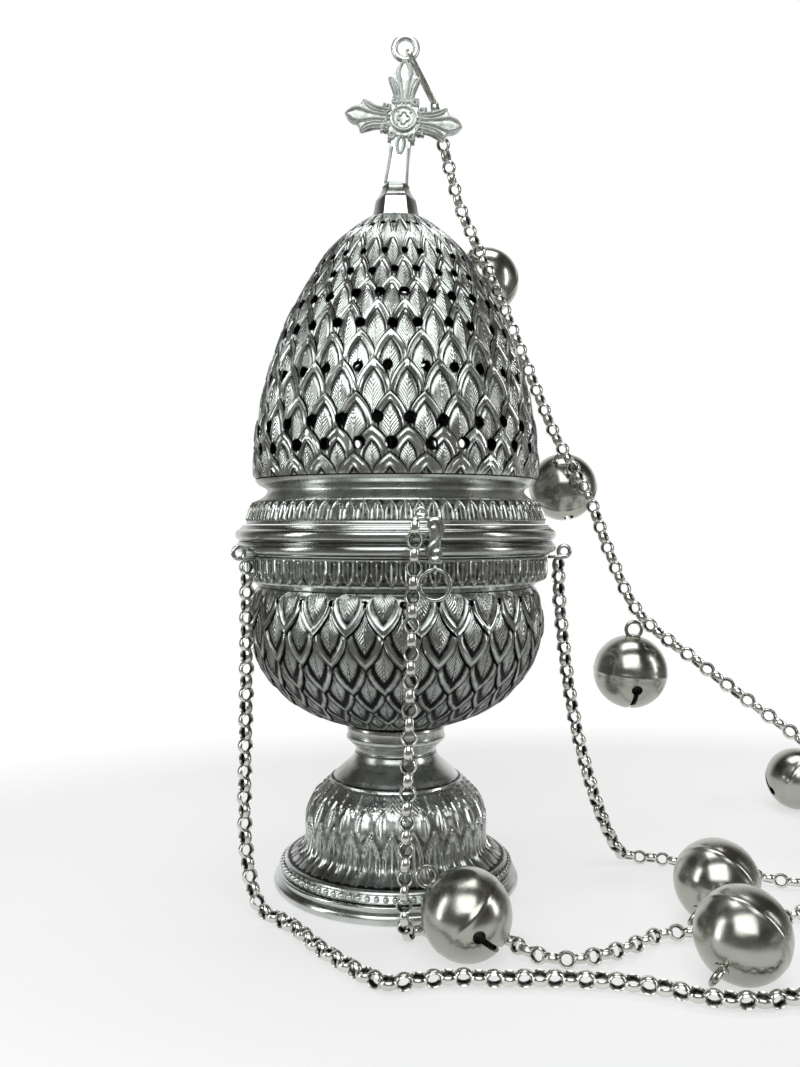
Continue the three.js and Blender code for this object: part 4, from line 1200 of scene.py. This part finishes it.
class CENSER_OT_bands(bpy.types.Operator):
    """Build the two bands of tongues, on the bowl and on the lid"""

    bl_idname = "censer.bands"
    bl_label = "Bands"

    def execute(self, context):
        tongue_band(
            "bowl_tongue_band", BOWL_BAND_OUTLINE, BOWL_BAND_INNER, tongue_relief(101, 94.4, 0.45),
            "root", "bowl_band")
        tongue_band(
            "lid_tongue_band", LID_BAND_OUTLINE, LID_BAND_INNER, tongue_relief(112.1, 117.9, 0.4),
            "lid", "lid_band")
        return {"FINISHED"}


BOWL_RIM_OUTLINE = [
    (45, 102.2), (45.2, 102.1), (47.7, 102.1), (47.9, 102.35), (47.7, 102.6), (48, 102.8),
    *arc(48.2, 104.2, 1.5, -70, 60, 10), (48.6, 105.75), (48.8, 106), (48.6, 106.1), (45.2, 106.1), (45, 106),
]
LID_RIM_OUTLINE = [
    (43.4, 103.4), (44.6, 103.4), (44.6, 106.4), (48.6, 106.4), (48.8, 106.5),
    *arc(48.05, 108.1, 1.65, -62, 72, 12), (48.2, 109.95), (48.1, 110.3), (47.7, 110.45), (47.6, 110.8),
    (47.3, 111), (43.4, 111),
]


class CENSER_OT_rims(bpy.types.Operator):
    """Build the rolled rims of bowl and lid"""

    bl_idname = "censer.rims"
    bl_label = "Rims"

    def execute(self, context):
        plated_ring("bowl_rolled_rim", BOWL_RIM_OUTLINE, 192, "rim_silver", "root", "bowl_rim")
        plated_ring("lid_rolled_rim", LID_RIM_OUTLINE, 192, "rim_silver", "lid", "lid_rim")
        return {"FINISHED"}


class CENSER_OT_cup(bpy.types.Operator):
    """Build the beaten copper cup that holds the charcoal"""

    bl_idname = "censer.cup"
    bl_label = "Charcoal cup"

    def execute(self, context):
        low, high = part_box("charcoal_cup")
        radius = high.x / MM
        bottom, top = low.z / MM, high.z / MM
        wall = smooth_outline([
            (0, bottom + 2), (19.6, bottom + 2), (20, bottom + 1.4), (20.2, bottom + 0.1), (21.9, bottom),
            (22.2, bottom + 1.2), (23.4, bottom + 2.4), (28, bottom + 6.4), (31.6, bottom + 11.6),
            (34.4, bottom + 20), (36, top - 4), (radius - 0.2, top - 0.6), (radius - 0.3, top - 0.1),
            (radius - 1, top - 0.1), (35, top - 4.4), (33.2, bottom + 20), (30.6, bottom + 12),
            (27, bottom + 7.4), (22, bottom + 3.6), (0, bottom + 3.2)], 1.2)
        wall[0] = (0, wall[0][1])
        cup = spun("copper_charcoal_cup", wall, 96)
        finish_piece(cup, "sooty_copper", "cup", ["charcoal_cup"])
        return {"FINISHED"}


# Finial: angles in degrees, heights in millimetres, the cross's own from its middle

CROSS_TILT = 6.6
SOCKET_TOP = 217.3
CROSS_CENTRE = 20.8
TOP_BEND = 5
EYE_RISE = 22.6


def spiral(centre, radius, start, turns, grow, parts=14):
    """Points of a scroll that winds in to a share of its radius, in the plane of the cross"""
    points = []
    for number in range(parts + 1):
        share = number / parts
        angle = math.radians(start) + TURN * turns * share
        size = radius * (1 - (1 - grow) * share)
        points.append((centre[0] + size * math.cos(angle), centre[1] + size * math.sin(angle)))
    return points


def flat_plate(name, outline, thickness, bevel):
    """A plate with rounded edges in the plane of the cross, to an outline of (x, z) in millimetres"""
    curve = bpy.data.curves.new(name, "CURVE")
    curve.dimensions = "2D"
    curve.fill_mode = "BOTH"
    curve.extrude = (thickness / 2 - bevel) * MM
    curve.bevel_depth = bevel * MM
    curve.bevel_resolution = 2
    curve.offset = -bevel * MM
    spline = curve.splines.new("POLY")
    spline.points.add(len(outline) - 1)
    for point, (x, z) in zip(spline.points, outline):
        point.co = (x * MM, z * MM, 0, 1)
    spline.use_cyclic_u = True
    plate = add_object(name, curve)
    plate.rotation_euler = (math.pi / 2, 0, 0)
    only(plate)
    bpy.ops.object.convert(target="MESH")
    plate = place_in_mesh(bpy.context.active_object)
    return clean(plate)


def arm_outline():
    """Right half of one arm from root to tip: a broad stem, a pointed side leaf and a pointed middle leaf"""
    return [
        (2.9, 3.4), (2.9, 6), (3, 8.2), (3.4, 10), (4.2, 11.6), (5.1, 12.8), (5, 13.3), (4.1, 13.5), (3.2, 14),
        (2.8, 14.6), (2.6, 15.3), (2.1, 16.3), (1.3, 17.3), (0.4, 18.3), (0, 18.5),
    ]


def turned_point(point, angle):
    x, z = point
    return (x * math.cos(angle) - z * math.sin(angle), x * math.sin(angle) + z * math.cos(angle))


def cross_outline():
    half = arm_outline()
    points = []
    for angle in (math.pi / 2, math.radians(TOP_BEND), -math.pi / 2):
        points += [turned_point(point, angle) for point in [(-x, z) for x, z in half]]
        points += [turned_point(point, angle) for point in reversed(half[:-1])]
    right = [
        (2.6, -3.4), (3.3, -6), (3.3, -9), (3.3, -13), (3.5, -16.5), (3.7, -19), (3.8, 0.5 - CROSS_CENTRE),
    ]
    points += right
    points += [(-x, z) for x, z in reversed(right)]
    return points


def raised(points, radius, side, swell=None):
    """A raised line on one face of the cross, thicker and thinner along its way if asked"""
    face = side * 1.3 * MM
    return wire("line", [(x * MM, face, z * MM) for x, z in points], radius * MM, swell=swell)


# Raised lines of a leaf of the cross as (points of its right half, radius, swell along it)
LEAF_SPINE = ([(0.55, 4), (0.6, 8), (1.1, 11), (1.9, 13.2), (2.1, 14.8), (1.5, 16.6), (0, 18.1)],
              0.62, [0.8, 0.9, 1, 1.2, 1.2, 1.1, 0.5])
LEAF_SIDES = [
    ([(2.5, 4), (2.5, 7), (2.8, 9.2), (3.7, 11.3), (4.8, 12.8)], 0.6, [0.7, 0.9, 1.1, 1.2, 0.4]),
    ([(1.5, 6), (1.7, 8.6), (2.4, 11), (3.4, 12.5), (4.5, 13)], 0.5, [0.6, 0.9, 1.1, 1.1, 0.4]),
]
ROSETTE_POINTS = 32


def cross_ornament(side):
    """Rims and channels of the leaves, scrolls between the arms, and the medallion's rosette, on one face"""
    lines = []

    def draw(points, hand, angle, radius, swell=None):
        lines.append(raised([turned_point((hand * x, z), angle) for x, z in points], radius, side, swell))

    for angle in (math.radians(TOP_BEND), math.pi / 2, 3 * math.pi / 2):
        points, radius, swell = LEAF_SPINE
        for hand in (-1, 1):
            draw(points, hand, angle, radius, swell)
        for hand in (-1, 1):
            for points, radius, swell in LEAF_SIDES:
                draw(points, hand, angle, radius, swell)
    for quarter in range(4):
        diagonal = (quarter + 0.5) * math.pi / 2
        for hand in (-1, 1):
            draw(spiral((hand * 1.5, 6.1), 1.25, 90, -hand * 1.2, grow=0.25), 1, diagonal, 0.58)
            draw([(3.7, 3.4), (3.4, 4.6), (2.5, 5.2), (1.6, 4.8)], hand, diagonal, 0.55)
    for hand in (-1, 1):
        draw([(0.3, -5.4), (1.5, -7), (1.3, -9), (0.2, -10.8)], hand, 0, 0.55)
        draw([(2.5, -9), (2.7, -13), (2.9, -16.5), (3.2, -19.8)], hand, 0, 0.42)
    rosette = [
        turned_point((0, 1.15 + 0.75 * abs(math.cos(2 * a))), a)
        for a in np.linspace(0, TURN, ROSETTE_POINTS, endpoint=False)]
    lines.append(wire("line", [(x * MM, side * 2.3 * MM, z * MM) for x, z in rosette], 0.3 * MM, closed=True))
    for quarter in range(4):
        x, z = turned_point((0, 2.75), (quarter + 0.5) * math.pi / 2)
        bpy.ops.mesh.primitive_uv_sphere_add(
            segments=12, ring_count=8, radius=0.34 * MM, location=(x * MM, side * 2.15 * MM, z * MM))
        lines.append(place_in_mesh(bpy.context.active_object))
    return lines


def turned_upright(name, outline):
    """A small turned piece whose axis runs front to back, closed at its middle"""
    piece = spun(name, outline, 48)
    piece.data.transform(Matrix.Rotation(math.pi / 2, 4, "X"))
    return piece


SOCKET_OUTLINE = [
    (1.9, 206.3), (7.4, 206.3), (7.6, 206.6), (7.3, 207.8), (6.9, 209.6), (6.6, 211.2), (6.4, 212.4),
    (6.2, 213), (5.5, 213.9), (4.8, 215), (4.4, 216), (4.2, 216.6), (4.3, 216.8), (4.3, 217.2),
    (4.2, SOCKET_TOP), (1.9, SOCKET_TOP),
]
BOSS_OUTLINE = [(0, -1.35), (5.6, -1.35), (6, -1), (6, 1), (5.6, 1.35), (0, 1.35)]
MEDALLION_OUTLINE = [
    (0, -2), (2.9, -2), (3.3, -2.4), (3.7, -2.5), (4.1, -2.2), (4.2, -1.5), (4.2, 1.5), (4.1, 2.2),
    (3.7, 2.5), (3.3, 2.4), (2.9, 2), (0, 2),
]
EYE_RADIUS = 3.5
LINK_POINTS = 24
LINK_HALF = 1.7  # half the width of the long link, along its wire


class CENSER_OT_finial(bpy.types.Operator):
    """Build the six-sided socket, the cast cross with its eye, and the long link"""

    bl_idname = "censer.finial"
    bl_label = "Finial"

    def execute(self, context):
        socket = turned_ring("cross_socket", SOCKET_OUTLINE, 6)
        modify(socket, "BEVEL", width=0.22 * MM, segments=2, limit_method="ANGLE", angle_limit=math.radians(35))
        finish_piece(socket, "plain_silver", "lid", ["finial_socket"], angle=30)

        parts = [flat_plate("cross_plate", cross_outline(), 2.6, 0.4)]
        for side in (-1, 1):
            parts += cross_ornament(side)
        parts.append(turned_upright("boss", BOSS_OUTLINE))
        parts.append(turned_upright("medallion", MEDALLION_OUTLINE))
        eye_place = Vector((*turned_point((0, EYE_RISE), math.radians(TOP_BEND)), 0)).xzy * MM
        bpy.ops.mesh.primitive_torus_add(
            major_radius=EYE_RADIUS * MM, minor_radius=1.05 * MM, major_segments=40, minor_segments=14,
            location=eye_place, rotation=(math.pi / 2, 0, 0))
        parts.append(place_in_mesh(bpy.context.active_object))
        stalk_points = [turned_point((0, z), math.radians(TOP_BEND)) for z in (15.5, 17, EYE_RISE - 3.6)]
        parts.append(wire("stalk", [(x * MM, 0, z * MM) for x, z in stalk_points], 1.3 * MM))
        cross = join("cast_cross", parts)
        places = coordinates(cross.data)
        above_plate = np.clip((np.abs(places[:, 1]) / MM - 1.15) / 0.4, 0.5, 1)
        on_shaft = (places[:, 2] < -10.8 * MM) | (places[:, 2] > 18.6 * MM)
        on_medallion = np.hypot(places[:, 0], places[:, 2]) < 4.3 * MM
        relief = np.where(on_medallion, np.clip((np.abs(places[:, 1]) / MM - 1.85) / 0.3, 0.4, 1), above_plate)
        set_relief(cross.data, np.where(on_shaft, 0.9, relief))
        lift = Matrix.Translation((0, 0, SOCKET_TOP * MM)) @ Matrix.Rotation(math.radians(CROSS_TILT), 4, "Y")
        lift = lift @ Matrix.Translation((0, 0, CROSS_CENTRE * MM))
        cross.data.transform(lift)
        rod = wire("rod", [(0, 0, z * MM) for z in (201.2, 210, 217.2)], 1.6 * MM, smooth=False)
        even_relief(rod, 0.8)
        cross = join("cast_cross", [cross, rod])
        self.eye = lift @ eye_place
        finish_piece(cross, "cast_silver", "lid", ["finial_cross"], angle=40)
        self.long_link()
        return {"FINISHED"}

    def long_link(self):
        """Runs from the eye of the cross to the lid chain's first point"""
        chain_end = Vector(LID_CHAIN_UPPER[0])
        eye = self.eye
        pull = Vector((chain_end.x - eye.x, 0, chain_end.z - eye.z)).normalized()
        contact = eye + pull * EYE_RADIUS * MM
        along = (chain_end - contact).normalized()
        top = contact - along * 2.3 * MM
        across = Vector((0, 1, 0))
        across = (across - across.dot(along) * along).normalized()
        half = LINK_HALF * MM
        points = []
        for number in range(LINK_POINTS):
            angle = TURN * number / LINK_POINTS
            end = chain_end - along * half if math.sin(angle) < 0 else top + along * half
            points.append(end + across * half * math.cos(angle) - along * half * math.sin(angle))
        link = wire("long_link", points, 0.66 * MM, closed=True)
        even_relief(link, 0.9)
        finish_piece(link, "chain_silver", "lid", ["finial_link"])


# Lugs, bracket and its ring

LEFT_LUG = 210.3
RIGHT_LUG = 349.5
BRACKET_X = 10.4
UPRIGHT = (math.pi / 2, 0, 0)  # turns a ring so that its axis runs front to back
BRACKET_SCROLLS = [
    ([(10.4, 106.4), (12.3, 108.6), (12.3, 111.4), (10.3, 112.9), (8.6, 111.6), (9.2, 109.9), (10.4, 110.4)],
     0.75),
    ([(10.4, 106.6), (8.3, 105), (8.5, 102.6), (10.6, 101.8), (12, 103.2), (11.2, 104.6), (10.2, 104)], 0.75),
    ([(9, 112.4), (7.6, 113.4), (6.2, 113.9), (5.1, 113.6)], 0.8),
]
BRACKET_FRONT = -53.7


def rounded_block(name, low, high, bevel):
    """A block between two corners in millimetres, with rounded edges"""
    middle = [(a + b) / 2 * MM for a, b in zip(low, high)]
    extent = [(b - a) * MM for a, b in zip(low, high)]
    bpy.ops.mesh.primitive_cube_add(size=1, location=middle, scale=extent)
    block = place_in_mesh(bpy.context.active_object)
    block.name = name
    return modify(block, "BEVEL", width=bevel * MM, segments=3)


def ring_at(name, centre, radius, thickness, rotation, segments=36):
    bpy.ops.mesh.primitive_torus_add(
        major_radius=radius * MM, minor_radius=thickness * MM, major_segments=segments, minor_segments=12,
        location=Vector(centre) * MM, rotation=rotation)
    piece = place_in_mesh(bpy.context.active_object)
    piece.name = name
    return piece


class CENSER_OT_lugs(bpy.types.Operator):
    """Build the two plain lugs, the scroll bracket in front and its loose ring"""

    bl_idname = "censer.lugs"
    bl_label = "Lugs and bracket"

    def execute(self, context):
        for name, solid, heading in (("left_lug", "lug_left", LEFT_LUG), ("right_lug", "lug_right", RIGHT_LUG)):
            tongue = rounded_block("tongue", (47.2, -1.9, 100.85), (51.6, 1.9, 101.75), 0.25)
            eye = ring_at("eye", (52.1, 0, 103), 1.7, 0.62, UPRIGHT)
            foot = rounded_block("foot", (50.1, -1.5, 100.9), (53.2, 1.5, 102), 0.3)
            lug = join(name, [tongue, eye, foot])
            lug.data.transform(Matrix.Rotation(math.radians(heading), 4, "Z"))
            finish_piece(lug, "plain_silver", "root", [solid])

        strap = rounded_block("strap", (8.9, -53.1, 100.9), (11.9, -50.3, 113.2), 0.55)
        tongue = rounded_block("tongue", (8.5, -52.5, 100.9), (12.3, -47.2, 101.75), 0.25)
        parts = [strap, tongue]
        for points, radius in BRACKET_SCROLLS:
            line = [(x * MM, BRACKET_FRONT * MM, z * MM) for x, z in points]
            parts.append(wire("scroll", line, radius * MM))
        parts.append(ring_at("top_eye", (6.7, -54.2, 114), 1.35, 0.55, UPRIGHT))
        parts.append(ring_at("low_eye", (BRACKET_X, -51.4, 99.5), 1.35, 0.5, (0, math.pi / 2, 0)))
        bracket = join("front_bracket", parts)
        finish_piece(bracket, "plain_silver", "root", ["lug_front"])

        low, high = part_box("loose_ring")
        centre = (low + high) / 2 / MM
        ring = ring_at("bracket_ring", centre, 4.05, 0.55, UPRIGHT, 48)
        finish_piece(ring, "plain_silver", "bracket_ring", ["loose_ring"])
        return {"FINISHED"}


# Chain cap

CAP_X = 190
CAP_Y = -30
CAP_PETALS = 20
CAP_OUTLINE = [
    (19, 0), (19, 1.4), (18.6, 2.2), (17.9, 2.6), (17.7, 3.1), (17.2, 5.4), (15.4, 8.2), (12.8, 10.4),
    (9.4, 12.2), (6.4, 13.2), (5.6, 13.6), (5.2, 13.95), (2.3, 13.95),
]
CAP_INNER = [(17.6, 0), (17.4, 1.8), (15.6, 5.4), (11.6, 9.2), (5.4, 12.2), (2.3, 12.6)]
LOOP_BASE_OUTLINE = [
    (0, 11.1), (1.5, 11.1), (1.6, 14.2), (2.8, 14.3), (3, 14.6), (2.9, 15.1), (2.2, 15.5), (0, 15.6),
]
LOOP_HEIGHT = 18.3
RING_HEADING = 135
RING_RADIUS = 14.5
RING_WIRE = 1.4


def cap_relief(angle, height, radius):
    """Petals round the chain cap"""
    side = angle / TURN * CAP_PETALS
    side = side - np.round(side)
    pitch = TURN * radius / CAP_PETALS
    on_petal = (height > 3.4) & (height < 12.4)
    edge = (0.5 - np.abs(side)) * pitch
    valley = 1 - held(edge / 0.6)
    rise = np.where(on_petal, 0.45 * (1 - valley) + 0.25 * cosine_bump(side * pitch, 0.5) - 0.35, 0)
    relief = np.where(on_petal, np.clip(1 - valley, 0.05, 0.9), 0.75)
    return rise, relief


class CENSER_OT_cap(bpy.types.Operator):
    """Build the chain cap, its loop and the finger ring"""

    bl_idname = "censer.cap"
    bl_label = "Chain cap"

    def execute(self, context):
        skin = spun("chain_cap", smooth_outline(CAP_OUTLINE, 0.7), 140)
        emboss(skin, cap_relief)
        walled(skin, CAP_INNER, 70)
        parts = [skin]
        for quarter in range(4):
            lug = rounded_block("lug", (18.2, -1.9, 1.7), (21.8, 1.9, 3.5), 0.4)
            even_relief(lug, 0.85)
            lug.data.transform(Matrix.Rotation(quarter * math.pi / 2, 4, "Z"))
            parts.append(lug)
        cap = join("chain_cap", parts)
        place = Matrix.Translation((CAP_X * MM, CAP_Y * MM, 0))
        cap.data.transform(place)
        finish_piece(cap, "embossed_silver", "root", ["cap_dome"])

        loop_base = spun("loop_base", LOOP_BASE_OUTLINE, 40)
        loop = ring_at("loop", (0, 0, LOOP_HEIGHT), 2.8, 0.85, UPRIGHT)
        eye = join("cap_loop", [loop_base, loop])
        eye.data.transform(place @ Matrix.Rotation(math.radians(RING_HEADING), 4, "Z"))
        finish_piece(eye, "plain_silver", "root", ["cap_eye"])

        lean = math.asin((LOOP_HEIGHT - RING_WIRE) / (2 * RING_RADIUS))
        ring = ring_at("grip_ring", (RING_RADIUS, 0, 0), RING_RADIUS, RING_WIRE - 0.02, (0, 0, 0), 72)
        ring.data.transform(Matrix.Rotation(lean, 4, "Y"))
        ring.data.transform(Matrix.Rotation(math.radians(RING_HEADING), 4, "Z"))
        ring.data.transform(Matrix.Translation((CAP_X * MM, CAP_Y * MM, LOOP_HEIGHT * MM)))
        finish_piece(ring, "plain_silver", "grip_ring", ["finger_ring"])
        return {"FINISHED"}


# Stage

FLOOR_WHITENESS = 0.6  # share of plain white in what the camera and the metal see of the floor


def floor_material():
    """A pale floor that takes the shadow, and fades into the background further out"""
    material = bpy.data.materials.new("pale_floor")
    material.use_nodes = True
    tree = material.node_tree
    shader = tree.nodes["Principled BSDF"]
    shader.inputs["Base Color"].default_value = rgba(colours().floor)
    shader.inputs["Roughness"].default_value = 0.6
    shader.inputs["Specular IOR Level"].default_value = 0.2
    place = node(tree, "TexCoord").outputs["Object"]
    parts = node(tree, "SeparateXYZ", {"Vector": place})
    across = math_node(tree, "DIVIDE", minus(tree, parts.outputs["X"], 0.09), 0.25)
    along = math_node(tree, "DIVIDE", minus(tree, parts.outputs["Y"], 0.03), 0.15)
    square = plus(tree, times(tree, across, across), times(tree, along, along))
    far = spread(tree, math_node(tree, "SQRT", square), 0.97, 1.35)
    clear = node(tree, "BsdfTransparent")
    white = node(tree, "Emission", {"Color": (1, 1, 1, 1), "Strength": 1.0})
    rays = node(tree, "LightPath").outputs
    by_metal = larger(tree, rays["Is Glossy Ray"], rays["Is Transmission Ray"])
    looked_at = larger(tree, rays["Is Camera Ray"], by_metal)
    pale = times(tree, looked_at, FLOOR_WHITENESS)
    near = node(tree, "MixShader", {0: pale, 1: shader.outputs[0], 2: white.outputs[0]})
    blend = node(tree, "MixShader", {0: far, 1: near.outputs[0], 2: clear.outputs[0]})
    tree.links.new(blend.outputs[0], tree.nodes["Material Output"].inputs["Surface"])
    return material


def area_lamp(name, place, target, size, power, warmth=(1, 1, 1)):
    lamp = bpy.data.lights.new(name, "AREA")
    lamp.shape = "RECTANGLE"
    lamp.size, lamp.size_y = size
    lamp.energy = power
    lamp.color = warmth
    holder = add_object(name, lamp)
    holder.location = place
    holder.rotation_euler = (Vector(target) - Vector(place)).to_track_quat("-Z", "Y").to_euler()


class CENSER_OT_stage(bpy.types.Operator):
    """Set up the camera, the pale floor, the lamps and the background"""

    bl_idname = "censer.stage"
    bl_label = "Stage"

    def execute(self, context):
        scene = context.scene
        camera = bpy.data.cameras.new("camera")
        camera.sensor_width = SENSOR
        camera.sensor_fit = "AUTO"
        camera.lens = FOCAL_PIXELS * SENSOR / IMAGE_HEIGHT
        camera.shift_y = (HORIZON_ROW - IMAGE_HEIGHT / 2) / IMAGE_HEIGHT
        camera.clip_start = 0.01
        holder = add_object("camera", camera)
        holder.location = (CAMERA_SIDE, -CAMERA_DISTANCE, CAMERA_HEIGHT)
        holder.rotation_euler = (math.pi / 2, 0, 0)
        scene.camera = holder

        bpy.ops.object.select_all(action="DESELECT")
        bpy.ops.mesh.primitive_plane_add(size=1, location=(0.09, 0, -0.0002))
        floor = place_in_mesh(context.active_object)
        floor.name = "floor"
        floor.data.materials.append(floor_material())

        world = bpy.data.worlds.new("studio")
        scene.world = world
        world.use_nodes = True
        tree = world.node_tree
        background = tree.nodes["Background"]
        direction = node(tree, "TexCoord").outputs["Generated"]
        parts = node(tree, "SeparateXYZ", {"Vector": direction})
        backdrop = spread(tree, parts.outputs["Y"], 0.55, 0.84)
        seen = larger(tree, backdrop, node(tree, "LightPath").outputs["Is Camera Ray"])
        near_floor = spread(tree, parts.outputs["Z"], -0.05, 0.4, 1, 0)
        room = mixed(tree, near_floor, (0.05, 0.043, 0.037, 1), (0.18, 0.172, 0.16, 1))
        shade = mixed(tree, seen, room, (1, 1, 1, 1))
        tree.links.new(shade, background.inputs["Color"])

        area_lamp("key", (-0.05, -0.68, 0.66), (0, 0, 0.14), (0.8, 0.7), 5.3, (0.96, 1, 0.99))
        area_lamp("left", (-0.75, -0.25, 0.3), (0, 0, 0.11), (0.16, 0.7), 1.9, (0.96, 1, 0.99))
        area_lamp("right", (0.8, -0.2, 0.3), (0.05, 0, 0.1), (0.12, 0.6), 1.4)
        area_lamp("top", (0.05, 0.12, 0.95), (0.05, 0, 0.1), (0.6, 0.4), 2.8)
        scene.view_settings.view_transform = "Standard"
        return {"FINISHED"}


PIECE_OPERATORS = [
    CENSER_OT_stage, CENSER_OT_chains, CENSER_OT_bells, CENSER_OT_dome, CENSER_OT_bowl, CENSER_OT_foot,
    CENSER_OT_stem, CENSER_OT_bands, CENSER_OT_rims, CENSER_OT_cup, CENSER_OT_finial, CENSER_OT_lugs,
    CENSER_OT_cap,
]


class CENSER_PT_panel(bpy.types.Panel):
    """Lists the pieces with their sizes and colours"""

    bl_label = "Censer"
    bl_idname = "CENSER_PT_panel"
    bl_space_type = "VIEW_3D"
    bl_region_type = "UI"
    bl_category = "Censer"

    def draw(self, context):
        layout = self.layout
        for group in (context.scene.censer_sizes, context.scene.censer_colours):
            box = layout.box()
            for name in group.__annotations__:
                box.prop(group, name)
        for operator in PIECE_OPERATORS:
            layout.operator(operator.bl_idname)


CLASSES = [CenserSizes, CenserColours, *PIECE_OPERATORS, CENSER_PT_panel]


def register():
    for one in CLASSES:
        bpy.utils.register_class(one)
    bpy.types.Scene.censer_sizes = PointerProperty(type=CenserSizes)
    bpy.types.Scene.censer_colours = PointerProperty(type=CenserColours)


def unregister():
    del bpy.types.Scene.censer_colours
    del bpy.types.Scene.censer_sizes
    for one in reversed(CLASSES):
        bpy.utils.unregister_class(one)


def main():
    register()
    for operator in PIECE_OPERATORS:
        group, name = operator.bl_idname.split(".")
        getattr(getattr(bpy.ops, group), name)()
    declare_chains()


if __name__ == "__main__":
    main()
